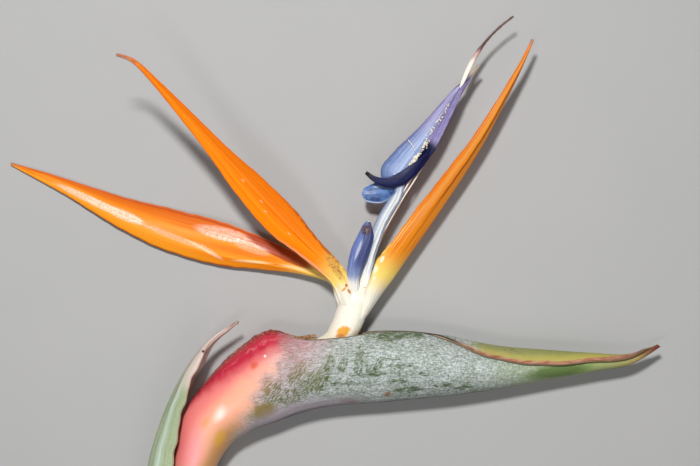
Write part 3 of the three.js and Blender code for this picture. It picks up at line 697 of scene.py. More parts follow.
salmon = f.mix(salmon, f.mix("#7c1a22", "#c2683c", f.noise(0.8, 3).between(0.5, 0.62)), seam_dark * 0.9)
seam_light = (top_ness + (f.noise(3, 3) - 0.5) * 0.16).near(0.82, 0.035) * f.along.between(0.2, 0.3)
salmon = f.over(salmon,
    ("#e8808a", seam_light * f.noise(1.4, 2).between(0.4, 0.6) * 0.6),
    ("#c78c6c", f.along.between(0.08, 0.0)),
    ("#dc5438", f.mark(-25.3, 2.9, 2.6, 1.8, 40, 0.8).between(0.1, 0.8) * 0.8),
    ("#fff0e4", f.mark(-21.6, 6.1, 0.7, 0.7).between(0.2, 0.6)))
waxy = f.mark(-36.6, -13.2, 7.5, 4.6, 55, 0.3).between(0.0, 0.8)
# Painted highlight: a pale patch on the bend, where the waxy coat mirrors the gloss light.
salmon = f.mix(salmon, "#fff2e6", f.mark(-36.6, -13.0, 4.4, 2.6, 60, 0.4, 1.6).between(0.0, 1.0) * 0.8)
colour = f.mix(body, salmon, flush)
rosy = over.between(16.0, 0.0) * (0.4 + 0.6 * f.noise(1.2, 4, rough=0.7).between(0.4, 0.6))
colour = f.over(colour,
    ("#c9818a", rosy * (1 - flush) * top_ness.between(0.3, 0.8) * 0.8),
    ("#87702c", f.mark(-22.0, -12.4, 6.4, 4.0, 20, 1.2).between(0.05, 0.6) * 0.85),
    ("#957238", f.mark(-20.8, -3.4, 5.0, 2.8, 66, 1.6).between(0.15, 0.7) * slant * 0.7))
keel_mauve = top_ness.between(0.34, 0.16) * f.along.between(0.16, 0.24) * f.along.between(0.56, 0.38)
colour = f.mix(colour, f.mix("#9c8b98", "#bdb2ba", grain), keel_mauve * 0.85)

# Beak: yellow-green above, ending red-brown.
beak = f.x.between(88, 108)
flap = f.across.between(-0.72, -0.9) * f.x.between(44, 54)
from_band = (far_edge + (f.noise(3, 3) - 0.5) * 2.0).between(1.4, 4.2)
colour = f.mix(colour, f.mix("#b8ac52", f.mix("#84884a", "#a3a258", (streak + cloud) * 0.5), from_band),
               flap * 0.9)
colour = f.mix(colour, "#6f5a34", flap * from_band * f.noise(1.4, 3).between(0.62, 0.7) * 0.6)
green = f.mark(77.0, 0.6, 15.0, 3.2, 8, 0.7, 1.2).between(0.0, 0.6) * f.across.between(0.0, 0.1)
colour = f.over(colour,
    ("#4f6c2a", green * 0.85),
    (f.mix("#b3a04c", "#a2603f", f.noise(1.2, 3)), beak * 0.7),
    ("#7a3226", f.x.between(103, 111)))

# Margins: a salmon-red band on the wrapped far one, a dry brown line on the open ones.
band = (far_edge + (f.noise(2, 2) - 0.5) * 0.8).between(1.3, 0.8) * f.x.between(38, 46)
band_colour = f.mix("#a04a38", "#c98f7c", f.fibres(60, 20).between(0.35, 0.65))
colour = f.mix(colour, band_colour, band * 0.92)
edge = f.least(far_edge, near_edge)
rim_line = edge.between(0.7, 0.15)
colour = f.mix(colour, f.mix("#7a5638", "#3f4a22", f.noise(1.5, 2)), rim_line * f.x.between(-16, -8) * 0.75)
# Painted shadow: near black along the margins where the slit opens, as the shade inside it.
slit = edge.between(1.3, 0.5)
colour = f.mix(colour, "#2a1c14", slit * f.x.between(28, 32) * f.x.between(45, 41) * 0.85)
# Painted shade: a dark line along the keel's lower silhouette, where the shade under it begins.
keel_shade_line = f.across.near(0.035, 0.1)
colour = f.mix(colour, "#4a3842", keel_shade_line * f.x.between(-30, -20) * f.x.between(80, 50) * 0.85)

inside = f.side.between(0.2, -0.2)
colour = f.mix(colour, f.mix("#c9b98a", "#b98d76", cloud), inside)
f.set(base_color=colour, roughness=0.62 - flush * 0.3 - bare * 0.15 + bloom_on * 0.1,
      coat_weight=flush * (0.2 + waxy * 0.8))
f.relief(row_grain * 0.5 * (1 - flush * 0.8) + grain * 0.4 * (1 - flush * 0.9), 0.22)

make_piece("spathe_sheath", [spathe_sheet], "spathe", f)

# %% [markdown]
# ## Bract on the stalk
# A narrow leaf clasps the stalk below the spathe and points up beside the bend. Low down it
# follows the stalk's own curve, so its stations there are worked out from the stalk. Higher up
# it stands free and its two edges curl. The tip has dried, so it is papery and slightly torn.

# %% Clasping bract
BRACT_THICK = 0.9
SHEATH_TURN, SHEATH_PLAY = 6, 0.25
SHEATH_CLASP = [dict(on=0.52, stand=0, wrap=152), dict(on=0.64, stand=0.6, wrap=134),
                dict(on=0.78, stand=1.7, wrap=116), dict(on=0.91, stand=4.4, wrap=94)]
SHEATH_FREE = stations("half wrap roll",
    (-61.0, -31.0, 10.6, 12.0, 86, 98), (-57.2, -18.0, 11.2, 10.4, 76, 98),
    (-52.1, -6.0, 11.8, 8.4, 70, 92), (-46.6, 3.4, 12.4, 5.8, 64, 86), (-40.2, 11.0, 13.0, 2.7, 54, 80),
    (-30.9, 17.3, 13.6, 0.35, 30, 80))


def clasp_stations():
    turn = math.radians(SHEATH_TURN)
    found = []
    for low in SHEATH_CLASP:
        stalk_row = row_on(STALK_LINE, low["on"])
        radius = stalk_row["wide"] + GAP + SHEATH_PLAY + BRACT_THICK / 2 + low["stand"] / 3
        reach = radius + 2 * low["stand"] / 3
        at = offset(stalk_row, [reach * math.cos(turn)], [reach * math.sin(turn)])[0]
        half = radius * math.radians(low["wrap"])
        found.append(dict(at=at, half=half, wrap=low["wrap"], roll=90 + SHEATH_TURN))
    return found


def bract_relief(t, v):
    veins = 0.05 * np.sin(v * 44 + 2 * math.sin(4 * t))
    midrib = -0.35 * hump(v, 0.0, 0.09) * (1 - smooth(t, 0.7, 0.95))
    curl = 0.35 * np.abs(v) ** 4 * wander(t, 21, (3, 7)) * smooth(t, 0.45, 0.8)
    return veins + midrib + curl


def bract_edges(t, v):
    return 0.03 * np.where(v > 0, wander(t, 22, (4, 9, 17)), wander(t, 23, (5, 11, 19)))


f = Finish("bract_skin", roughness=0.55)
rib = f.fibres(10, 20)
leaf = f.mix("#8d9c6c", "#b5c29c", rib)
leaf = f.over(leaf,
    ("#b9c8b4", f.noise(0.5, 4).between(0.4, 0.7) * 0.45),
    ("#cfe3d2", (f.across + (rib - 0.5) * 0.1).near(0.52, 0.2) * 0.75),
    ("#d8e6d8", f.across.near(0.2, 0.08) * 0.35),
    ("#6f8244", f.fibres(9, 3.5, 4).between(0.52, 0.66) * f.across.between(0.6, 0.3) * 0.6))
dry = (f.y + (f.noise(3, 2) - 0.5) * 6).between(-2.0, 5.5)
leaf = f.mix(leaf, f.mix("#b9a596", "#d6c4b4", rib), dry * 0.95)
strip = f.across.between(0.34, 0.44) * f.y.between(-8, -1)
leaf = f.over(leaf,
    ("#e2d0c6", strip * 0.85),
    ("#84352e", f.across.near(0.36, 0.06) * f.y.between(-12, -4) * f.y.between(11, 8) * 0.85),
    ("#9a5a44", abs(f.across).between(0.94, 0.985) * 0.6),
    ("#3a2c28", f.mark(-42.5, 7.5, 0.8, 0.7).between(0.2, 0.6)),
    ("#a4633c", f.y.between(14.2, 17.4) * 0.9),
    ("#d9c2b8", f.side.between(-0.2, 0.2) * f.y.between(-26, -8) * 0.6))
f.set(base_color=leaf, roughness=0.45 + dry * 0.3)
f.relief(rib, 0.3)

make_piece("clasping_bract", [
    blade_part(clasp_stations() + SHEATH_FREE, 260, 60, BRACT_THICK, 0.0, bract_relief, bract_edges),
], "sheath_bract", f)

# %% [markdown]
# ## Flower base, membrane and hidden buds
# The flower rises from the slit on a white tube. The sepals run down into it on fleshy bases of
# the same cream colour, so the fork looks grown rather than joined. Beside it shows the dry edge
# of an inner membrane, and two buds wait deeper inside the spathe.

# %% Flower base
OVARY_LINE = stations("wide deep",
    (-35.7, -9.1, MID, 2.5, 2.5), (-28.6, -2.2, MID, 3.6, 3.4), (-18.6, 2.6, MID, 4.3, 3.9),
    (-8.4, 5.0, MID, 4.5, 4.0), (1.2, 9.2, MID, 4.7, 4.0), (5.2, 15.2, MID, 4.9, 3.9),
    (7.4, 20.6, MID, 5.1, 3.9), (9.2, 25.2, MID, 4.6, 3.8), (10.4, 28.6, MID - 1.0, 3.6, 2.4))


def tube_flute(t, turn):
    return 1 + 0.012 * np.cos(6 * turn)


f = Finish("tube_skin", roughness=0.38, subsurface_weight=0.25, subsurface_scale=0.002)
cream = f.mix("#f2e8d2", "#fdf8ec", f.noise(3, 3))
cream = f.over(cream,
    ("#ecdcae", f.y.between(18, 11) * 0.4),
    ("#e8a01a", f.mark(4.4, 13.9, 3.1, 2.2, 40, 0.9, 1.2).between(0.05, 0.4)),
    ("#c0661a", f.mark(3.4, 12.6, 2.0, 0.9, 10, 0.8, 1.0).between(0.1, 0.5) * 0.7),
    ("#c9c3a0", f.noise(0.7, 3).between(0.62, 0.75) * 0.3))
f.set(base_color=cream)
f.relief(f.noise(0.8, 3, f.strung(4, 6)), 0.2)

make_piece("flower_tube", [
    stem_part(sampled(OVARY_LINE, 120), 64, tube_flute, dome=(0.3, 0.5)),
], "flower_base", f)

# %% [markdown]
# ### Membrane
# A flower in the spathe has a thin bract of its own, and here only its dry, frayed edge shows in
# the slit. It is the same kind of blade as a sepal, but thinner, and stronger waves in its
# outline and its relief make it look papery.

# %% Membrane
MEMBRANE_SPINE = stations("half wrap",
    (-24.0, 7.6, 10.2, 0.6, 10), (-19.4, 9.0, 10.3, 1.4, 24), (-14.0, 10.4, 10.5, 1.4, 28),
    (-9.0, 11.5, 11.0, 0.9, 24), (-4.8, 12.6, 11.6, 0.4, 10))


def membrane_relief(t, v):
    return 0.16 * np.sin(v * 5 + 31 * t) * math.sin(math.pi * t)


def membrane_edges(t, v):
    return 0.16 * np.where(v > 0, wander(t, 31, (7, 13, 29)), wander(t, 32, (9, 17, 31)))


f = Finish("dry_membrane", roughness=0.65)
f.set(base_color=f.mix("#7a4a2c", "#c39a6c", f.noise(0.8, 4).between(0.35, 0.7)))
f.relief(f.noise(0.5, 3), 0.15)
make_piece("membrane_edge", [
    blade_part(MEMBRANE_SPINE, 120, 16, 0.6, 0.0, membrane_relief, membrane_edges, 0.3),
], "flower_bract", f)

# %% [markdown]
# ### Hidden buds
# More flowers wait inside the spathe and rise one after the other. These two are out of sight, yet
# the part holds what a real one holds. A closed bud is blunt and three-sided, so a stem with
# three grooves is enough for it.

# %% Hidden buds
BUDS = {
    "bud_older": stations("wide deep",
        (-31.7, -12.5, MID + 2.9, 2.1, 2.1), (-20.0, -7.0, MID + 3.7, 3.0, 3.0),
        (-2.0, -2.0, MID + 4.0, 3.5, 3.3), (18.0, 1.6, MID + 3.7, 3.3, 3.0),
        (38.0, 3.4, MID + 1.6, 0.7, 0.7)),
    "bud_younger": stations("wide deep",
        (-31.7, -12.5, MID - 2.9, 2.1, 2.1), (-20.0, -7.4, MID - 3.6, 2.8, 2.8),
        (-4.0, -3.2, MID - 3.8, 3.1, 3.0), (12.0, -0.8, MID - 3.4, 2.8, 2.6),
        (28.0, 0.4, MID - 2.0, 0.7, 0.7)),
}


def bud_flute(t, turn):
    """Three folded sepals: a bud is bluntly three-sided, with a groove where two of them meet."""
    from_groove = (np.mod(turn, 2 * math.pi / 3) - math.pi / 3) / 0.14
    return 1 - 0.10 * smooth(t, 0.2, 0.6) * np.exp(-from_groove ** 2)


f = Finish("bud_skin", roughness=0.42)
bud_stripe = f.noise(0.7, 3, f.strung(3, 8))
f.set(base_color=f.mix(f.mix("#efe6c8", "#e9c07a", bud_stripe), f.mix("#f2a23a", "#ea8a22", bud_stripe),
                       f.along.between(0.3, 0.8)))
f.relief(bud_stripe, 0.2)
for node, line in BUDS.items():
    make_piece(node.replace("bud_", "hidden_bud_"), [
        stem_part(sampled(line, 90), 48, bud_flute, dome=(0.3, 0.6))], node, f)

# %% [markdown]
# ## Orange sepals
# Three stiff orange sepals spread from the fork: two back ones, which open to a flat fan, and a
# keeled front one, which stands on edge. Each blade is nearly flat but for a soft crease, and
# parallel veins run its whole length. The veins are part of the mesh, because they catch
# light along the blade even where the colour is even.

# %% Sepal stations
SEPAL_THICK, SEPAL_ROWS, SEPAL_RIM = 0.9, 300, 0.35  # mm, rows along, share of the thickness at the rim
SEPAL_RIDGE = 0.5  # the low sepal's ridge lies this far across, towards its lower edge
SEPAL_BACK_LOW = stations("half wrap roll fold thick",
    (7.0, 17.5, 9.0, 2.4, -30, -14, 0, 3.8), (5.2, 25.0, 8.8, 3.4, -40, -14, 0, 4.2),
    (1.8, 32.3, 7.8, 3.2, -44, -14, 0, 3.2), (-9.0, 35.9, 6.6, 3.2, -34, -12, -0.1, 1.5),
    (-22.0, 39.3, 5.6, 5.2, -24, -10, -0.16), (-37.0, 43.1, 4.9, 7.4, -20, -6, -0.18),
    (-54.0, 47.9, 4.0, 7.4, -20, 0, -0.18), (-71.0, 54.2, 3.1, 5.5, -20, 6, -0.16),
    (-87.0, 61.4, 2.2, 3.1, -20, 8, -0.12), (-100.0, 66.9, 1.4, 1.6, -16, 4, -0.06),
    (-110.6, 71.2, 0.52, 0.4, -4, 0, 0))
SEPAL_BACK_HIGH = stations("half wrap roll fold thick",
    (7.8, 19.0, 11.2, 2.2, -30, 10, 0, 3.6), (5.8, 26.0, 12.0, 2.8, -30, 10, 0, 3.8),
    (2.4, 33.0, 12.9, 3.1, -10, 10, 0, 2.8), (-6.4, 41.6, 15.0, 4.2, 30, 8, 0.12, 1.3),
    (-15.8, 51.0, 17.8, 5.8, 24, 4, 0.16), (-26.4, 62.6, 21.2, 5.2, 20, 0, 0.2),
    (-36.4, 73.9, 25.0, 3.3, 18, -4, 0.2), (-46.4, 85.4, 29.4, 2.0, 16, -6, 0.18),
    (-56.4, 96.4, 34.4, 0.9, 14, -6, 0.1), (-62.6, 102.4, 37.2, 0.45, 8, -6, 0),
    (-68.0, 104.4, 39.0, 0.3, 4, -6, 0))
SEPAL_FRONT = stations("half wrap roll fold thick",
    (8.4, 17.0, MID, 2.4, 20, -90, 0, 4.6), (11.8, 22.4, MID, 3.2, 40, -90, 0.05, 5.2),
    (15.3, 27.5, MID, 4.4, 60, -90, 0.3, 5.2), (20.4, 32.7, MID, 6.0, 62, -90, 0.72, 3.2),
    (25.4, 38.4, MID, 6.5, 54, -88, 0.68, 1.4), (32.0, 47.4, MID, 6.6, 50, -88, 0.7),
    (38.8, 57.4, MID + 0.4, 6.2, 46, -88, 0.66), (45.8, 67.9, MID + 1, 5.4, 42, -88, 0.62),
    (52.2, 78.4, MID + 1.6, 4.4, 38, -88, 0.58), (58.2, 89.9, MID + 2.2, 3.2, 34, -88, 0.54),
    (63.8, 101.4, MID + 2.8, 1.8, 28, -88, 0.5), (68.5, 112.6, MID + 3.4, 0.5, 8, -88, 0))

# %% [markdown]
# ### Sepal finish
# All three share one recipe: orange with finer, deeper veins, a redder rim, a yellow base
# that pales into the white tube, and a dry brown tip. What differs is passed in, and the marks
# of each blade are added to its colour before it is linked.

# %% Sepal finish
def sepal_finish(name, dark, mid, light, base_end, tip_start, slant=0.0):
    """An orange blade's finish and its colour so far. base_end and tip_start are along it."""
    f = Finish(name, roughness=0.5, specular_ior_level=0.18, coat_roughness=0.24, coat_weight=0.1)
    vein = f.fibres(3.0, 9.0, 3, 0.6)
    fine = f.fibres(9.0, 34.0, 3, 0.65)
    colour = f.mix(f.mix(dark, mid, vein.between(0.3, 0.6)), light,
                   (fine * 0.6 + vein * 0.5).between(0.5, 0.75) * 0.5)
    from_base = f.along + (vein - 0.5) * 0.04 + f.across * slant
    cream = f.mix("#f2e8d2", "#fdf8ec", f.noise(3, 3))
    pale = f.mix("#ffdc70", cream, from_base.between(base_end * 1.3, base_end * 0.75))
    colour = f.mix(colour, pale, from_base.between(base_end * 1.9, base_end * 1.2))
    rim = abs(f.across).between(0.9, 0.985) * f.along.between(base_end * 1.6, base_end * 2.6)
    colour = f.mix(colour, "#d1560c", rim * 0.55)
    colour = f.mix(colour, "#b9571d", f.noise(1.3, 4).between(0.66, 0.76) * 0.35)
    dry = (f.along + (f.noise(2, 2) - 0.5) * 0.05).between(tip_start, 0.995)
    colour = f.mix(colour, f.mix("#8f5f4a", "#c49478", fine), dry)
    f.relief(fine * 0.6 + vein * 0.4, 0.12)
    return f, colour, vein, fine


def sepal_veins(seed, broad, height=0.012):
    """Relief of a blade: broad flutes and fine parallel veins, wandering a little."""
    def relief(t, v):
        drift = 0.05 * wander(t, seed, (1, 2, 3))
        fade = math.sin(math.pi * min(max(t, 0.02), 0.98)) ** 0.5
        flutes = broad * np.sin((v + drift) * 7.5 + seed) * fade
        return flutes + height * np.sin((v + drift) * 38) * fade
    return relief


# %% [markdown]
# ### Low back sepal
# The lowest sepal lies closest to the surface and shows its rounded back, with a ridge towards
# its lower edge. Its glossy patches have a clear coat on them, and their paler colour is a
# painted highlight.

# %% Low back sepal
def low_relief(t, v):
    ridge = 0.3 * hump(v, SEPAL_RIDGE + 0.04, 0.06) * smooth(t, 0.05, 0.2) * (1 - smooth(t, 0.4, 0.55))
    lip = 0.25 * hump(v, -0.96, 0.05) * (1 - smooth(t, 0.8, 0.95))
    return sepal_veins(3, 0.04)(t, v) + ridge + lip


f, colour, vein, fine = sepal_finish("sepal_low_skin", "#ee7a00", "#fd9104", "#ffa834", 0.2, 0.955)
# Painted shade and light: the upper half deeper orange as it turns from the light, a lighter strip by the
# ridge.
upper_painted_shade = f.across.between(-0.1, -0.7) * f.along.between(0.2, 0.4)
colour = f.mix(colour, "#d05600", upper_painted_shade * 0.75)
colour = f.mix(colour, "#ffa326", f.across.between(0.1, 0.4) * f.along.between(0.45, 0.6) * 0.6)
gloss = 0.0
for x, y, long, short, turn, strength in (
        (-36.6, 46.9, 12.0, 2.6, -14, 0.8), (-27.0, 42.5, 8.0, 2.4, -20, 0.5),
        (-54.0, 46.0, 15.0, 1.2, -22, 0.5),
        (-80.0, 57.4, 19.0, 1.5, -25, 0.95), (-71.0, 53.4, 9.0, 1.9, -24, 0.9),
        (-42.0, 41.2, 7.0, 0.9, -32, 0.7)):
    patch = f.mark(x, y, long, short, turn, 0.4, 0.9, above=-5).between(0.0, 0.35) * strength
    gloss = f.most(gloss, patch)
gloss = gloss * (0.5 + f.noise(0.7, 3, rough=0.8).between(0.4, 0.6) * 0.7) * f.side.between(-0.1, 0.1)
# Painted highlight: the glossy patches are painted paler as well as coated.
colour = f.mix(colour, "#ffc9b0", gloss * 0.75)
# Painted shadow: a dark red band where the high sepal casts its shadow on this one.
painted_shadow = f.mark(-17.5, 41.0, 14.5, 2.5, -27, 0.2, above=-5).between(0.0, 0.3)
colour = f.mix(colour, "#a03206", painted_shadow * 0.9)
# Painted highlight: pale lines along the crease, where the ridge catches the light.
for x, y, long, turn in ((-44.3, 42.2, 9.8, -28), (-27.0, 37.4, 10.0, -4), (-12.0, 35.4, 8.0, -12)):
    crease = f.mark(x, y, long, 0.75, turn, 0.2, above=-5).between(0.1, 0.7)
    colour = f.mix(colour, "#ffe0ae", crease * 0.6)
colour = f.over(colour,
    ("#d4500a", f.mark(-36.4, 35.9, 4.4, 0.9, -6, 0.3, above=-5).between(0.1, 0.7) * 0.7),
    # Painted shade: a dark red line just under the rolled upper edge.
    ("#a83604", f.across.near(-0.89, 0.09) * f.along.between(0.16, 0.34) * f.along.between(0.95, 0.7) * 0.9),
    ("#9a2c05", f.across.between(0.9, 0.98) * f.along.between(0.3, 0.5) * 0.8),
    # Painted highlight: a pale line on the rolled upper edge.
    ("#fbc48a", f.across.near(-1.0, 0.04) * f.along.between(0.25, 0.4) * 0.6))
f.set(base_color=colour, roughness=0.5 - gloss * 0.16 + (fine - 0.5) * 0.12, coat_weight=0.04 + gloss * 0.3)

make_piece("low_sepal", [
    blade_part(SEPAL_BACK_LOW, SEPAL_ROWS, 64, SEPAL_THICK, SEPAL_RIDGE, low_relief, uneven(41), SEPAL_RIM),
], "sepal_back_low", f)

# %% [markdown]
# ### High back sepal
# The second back sepal rises above the first and shows its hollow inner face, with a valley
# down the middle. The half beyond the valley turns away from the light, so it is painted a little
# deeper as shade, and the valley is painted darker as shade.

# %% High back sepal
def high_relief(t, v):
    valley = -0.22 * hump(v, 0.0, 0.05) * smooth(t, 0.05, 0.2) * (1 - smooth(t, 0.8, 0.95))
    lip = 0.2 * hump(np.abs(v), 0.95, 0.06)
    return sepal_veins(7, 0.06)(t, v) + valley + lip


f, colour, vein, fine = sepal_finish("sepal_high_skin", "#f27800", "#ff8a00", "#ffa01c", 0.15, 0.83)
# Painted shade: the half beyond the valley deeper, and a darker line down the valley.
colour = f.mix(colour, "#dc6202", f.across.between(-0.02, -0.2) * f.along.between(0.24, 0.4) * 0.35)
colour = f.mix(colour, "#c25206", f.across.near(0.0, 0.07) * f.along.between(0.1, 0.2)
               * f.along.between(0.8, 0.6) * 0.5)
for x, y in ((-28.6, 64.6), (-22.8, 57.8), (-21.4, 54.4), (-13.6, 47.0)):
    colour = f.mix(colour, "#f9c08c", f.mark(x, y, 1.3, 0.5, -45, 0.4).between(0.2, 0.9) * 0.7)
colour = f.mix(colour, "#f0a888", f.across.between(0.8, 0.95) * f.along.between(0.2, 0.26)
               * f.along.between(0.42, 0.3) * 0.6)
# An olive-brown patch near the base, with darker speckles.
olive_patch = f.mark(1.4, 36.0, 7.0, 1.9, -58, 0.8).between(0.0, 0.6)
colour = f.mix(colour, "#cf9f4c", olive_patch * 0.75)
speckle = olive_patch * f.noise(0.9, 4).between(0.52, 0.62) * 0.75
colour = f.mix(colour, "#ad5e2c", speckle)
brown_rim = f.across.between(-0.84, -0.93) * f.along.between(0.17, 0.22) * f.along.between(0.46, 0.36)
colour = f.mix(colour, "#8a4a1c", brown_rim * f.noise(1.5, 3).between(0.36, 0.5) * 0.6)
for x, y, long, turn, brown in ((5.6, 29.4, 0.9, 80, "#c23a1c"), (4.7, 28.2, 1.3, 40, "#dc9a3c"),
                                (6.5, 27.6, 1.3, -50, "#c8742a")):
    colour = f.mix(colour, brown, f.mark(x, y, long, 0.6, turn, 0.6).between(0.1, 0.5) * 0.85)
f.set(base_color=colour, roughness=0.36 + fine * 0.14)

make_piece("high_sepal", [
    blade_part(SEPAL_BACK_HIGH, SEPAL_ROWS, 56, SEPAL_THICK, 0.0, high_relief, uneven(51), SEPAL_RIM),
], "sepal_back_high", f)

# %% [markdown]
# ### Front sepal
# The front sepal is folded along a keel and opens towards the blue petals. A seam runs up
# the side that faces up, where the fold pinches near the tip, and it is painted dark as the shade
# in that pinch.

# %% Front sepal
def front_relief(t, v):
    seam = 0.35 * hump(v, -0.6, 0.06) * smooth(t, 0.42, 0.6) * (1 - smooth(t, 0.92, 1))
    return sepal_veins(9, 0.10)(t, v) - seam


f, colour, vein, fine = sepal_finish("sepal_front_skin", "#f27c00", "#ff920a", "#ffb648", 0.22, 0.965, -0.035)
colour = f.over(colour,
    ("#ffc070", f.across.near(-0.8, 0.16) * f.along.between(0.4, 0.55) * 0.5),
    ("#ff9c14", f.across.near(-0.25, 0.3) * f.along.between(0.4, 0.5) * 0.6),
    # Painted shade: a dark line along the pinched seam.
    ("#8f3c08", (f.across + (vein - 0.5) * 0.06).near(-0.6, 0.07) * f.along.between(0.46, 0.6) * 0.85),
    ("#c25a0a", (f.across + (vein - 0.5) * 0.06).near(-0.5, 0.08) * f.along.between(0.34, 0.45)
     * f.along.between(0.6, 0.5) * 0.5))
# Painted highlight: small pale glints near the base.
painted_glint = 0.0
for x, y, long, short, turn in ((15.4, 35.0, 2.2, 1.0, 65), (17.6, 38.4, 1.8, 0.9, 60),
                                (14.8, 32.0, 1.2, 0.6, 70)):
    painted_glint = f.most(painted_glint, f.mark(x, y, long, short, turn, 0.5).between(0.1, 0.6))
colour = f.mix(colour, "#fff6dc", painted_glint * 0.8)
streaks = f.fibres(2.2, 26.0, 3, 0.5)
# Painted light: paler streaks on the lit strip beyond the seam.
lit = f.across.between(-0.6, -0.72) * f.along.between(0.34, 0.42) * f.along.between(0.95, 0.8)
colour = f.mix(colour, "#ffdcae", streaks.between(0.56, 0.68) * lit * 0.8)
f.set(base_color=colour, roughness=0.38 + fine * 0.14)

make_piece("front_sepal", [
    blade_part(SEPAL_FRONT, SEPAL_ROWS, 72, SEPAL_THICK, 0.0, front_relief, uneven(61), SEPAL_RIM),
], "sepal_front", f)

# %% [markdown]
# ## Blue arrow
# Two blue petals close round the style and stamens and form an arrow: a slender claw below and
# a barbed head above. Everything in it runs beside one line, the groove that the petals
# close round, so stations are measured to the left of that line and above it.

# %% Groove
PETAL_THICK = 0.7
GROOVE = [dict(at=[x, y, MID + up]) for x, y, up in (
    (9.0, 27.8, -0.4), (12.9, 39.5, -0.2), (17.7, 50.0, 0.1), (23.2, 59.9, 0.5),
    (28.2, 69.4, 0.9), (33.4, 78.2, 1.3), (38.8, 87.0, 1.7), (44.3, 96.3, 2.1))]


def beside_groove(line):
    """Stations placed by the groove: how far on it from 0 to 1, to its left, and up from it."""
    placed = []
    for station in line:
        on, left, up = station["at"]
        row = row_on(GROOVE, on)
        at = station_at(GROOVE, on)["at"] + row["left"] * left + row["face"] * up
        placed.append({**station, "at": at})
    return placed


WING = stations("half wrap roll",
    (0.03, -0.4, 1.2, 3.0, -56, -36), (0.16, 0.5, 1.9, 3.0, -54, -36), (0.3, 1.1, 1.9, 2.5, -50, -34),
    (0.42, 1.1, 1.95, 2.5, -50, -32), (0.475, 3.0, 2.4, 3.2, -36, -20), (0.505, 5.5, 2.2, 4.3, -30, -10),
    (0.545, 5.1, 2.2, 4.3, -30, -8), (0.6, 4.5, 2.2, 3.9, -32, -8), (0.7, 3.4, 2.1, 3.0, -34, -8),
    (0.8, 2.55, 2.0, 2.1, -32, -8), (0.9, 1.75, 1.8, 1.45, -26, -8), (1.0, 0.8, 1.3, 0.5, -10, -8))
TROUGH = stations("half wrap roll",
    (0.03, -0.9, -1.2, 2.8, 104, -36), (0.14, -1.09, -1.6, 3.36, 104, -36),
    (0.28, -1.09, -1.6, 3.36, 104, -36), (0.42, -1.09, -1.6, 3.36, 104, -36),
    (0.56, -1.1, -1.5, 3.9, 126, -60), (0.7, -1.5, -1.3, 4.8, 136, -68), (0.84, -1.4, -1.1, 4.5, 136, -68),
    (0.97, -0.9, -0.7, 2.8, 124, -64))
TROUGH_LIP = stations("half wrap roll",
    (0.6, -1.2, 0.6, 1.5, -50, -34), (0.68, -1.3, 1.3, 2.0, -50, -30), (0.76, -1.1, 1.4, 1.9, -50, -30),
    (0.85, -0.8, 1.4, 1.5, -46, -28), (0.93, -0.5, 1.2, 1.0, -36, -26), (0.985, -0.3, 1.1, 0.5, -16, -24))
TROUGH_TIP = stations("half wrap roll",
    (47.9, 100.8, MID + 1.5, 0.8, 60, -55), (50.4, 104.0, MID + 1.6, 0.35, 20, -55))
CUP_BARB = stations("half wrap roll",
    (24.4, 66.6, MID + 2.6, 1.6, -30, 0), (20.9, 63.4, MID + 2.1, 3.2, -34, 0),
    (17.4, 61.3, MID + 1.5, 4.0, -34, 4), (13.9, 60.6, MID + 1.1, 3.2, -30, 6),
    (11.8, 60.6, MID + 0.9, 2.1, -16, 6), (10.9, 60.6, MID + 0.8, 0.3, -4, 6))
HORN_BARB = stations("half wrap roll",
    (35.0, 76.8, MID + 1.7, 0.8, -10, -70), (32.6, 72.9, MID + 3.4, 1.2, -14, -40),
    (28.5, 68.8, MID + 4.5, 1.9, -20, -18), (23.6, 65.3, MID + 4.9, 2.2, -24, -8),
    (18.9, 64.3, MID + 4.5, 1.7, -24, -4), (15.1, 65.5, MID + 4.0, 0.9, -14, 0),
    (12.2, 67.7, MID + 3.6, 0.4, -4, 0))

# %% [markdown]
# ### Wing
# The near petal carries the wing that makes the arrow's upper half, and a pale-rimmed cup where
# the head meets the claw. Its colour changes from white at the claw, through steel blue, to
# lavender at the tip, and a navy line edges it.

# %% Wing and cup
def petal_relief(seed, height=0.05):
    def relief(t, v):
        return height * np.sin(v * 16 + seed + 1.5 * math.sin(3 * t)) + 0.5 * height * np.sin(v * 43 + seed)
    return relief


def petal_finish(name, coarse, thin, **constants):
    """A blue petal's finish with its coarse and fine veins, which are its relief too."""
    finish = Finish(name, **constants)
    vein, fine = finish.fibres(*coarse), finish.fibres(*thin)
    finish.relief(vein * 0.5 + fine * 0.5, 0.12)
    return finish, vein, fine


def petal_part(line, steps, columns, relief, seed, ragged, edge=0.4):
    return blade_part(line, steps, columns, PETAL_THICK, 0.0, relief, uneven(seed, ragged), edge)


def wing_relief(t, v):
    return petal_relief(2)(t, v) + 0.25 * hump(v, -0.15, 0.3) * smooth(t, 0.55, 0.7) * (1 - smooth(t, 0.9, 1))


f, vein, fine = petal_finish("wing_skin", (6, 10), (14, 34), roughness=0.36, specular_ior_level=0.35,
                             coat_weight=0.15, coat_roughness=0.25)
claw = f.mix("#8494ac", "#e6e9ea", f.fibres(2.5, 16, 2, 0.4).between(0.44, 0.58))
claw = f.over(claw,
    ("#4c5878", fine.between(0.54, 0.66) * 0.7),
    ("#fafaf6", f.across.near(-0.55, 0.16) * 0.8),
    ("#23243a", f.across.near(-0.8, 0.09) * f.y.between(36, 42) * 0.85),
    ("#6a7fa8", f.across.between(0.1, 0.75) * f.y.between(36, 44) * 0.85),
    (f.mix("#fbf6ea", "#e4ebf0", f.y.between(30, 35)), f.y.between(38, 31) * 0.95),
    ("#4a5070", abs(f.across).between(0.9, 0.98) * f.y.between(32, 42) * 0.7),
    ("#eadfc0", f.mark(29.0, 67.6, 3.0, 2.0, 60).between(0.1, 0.6) * 0.8))
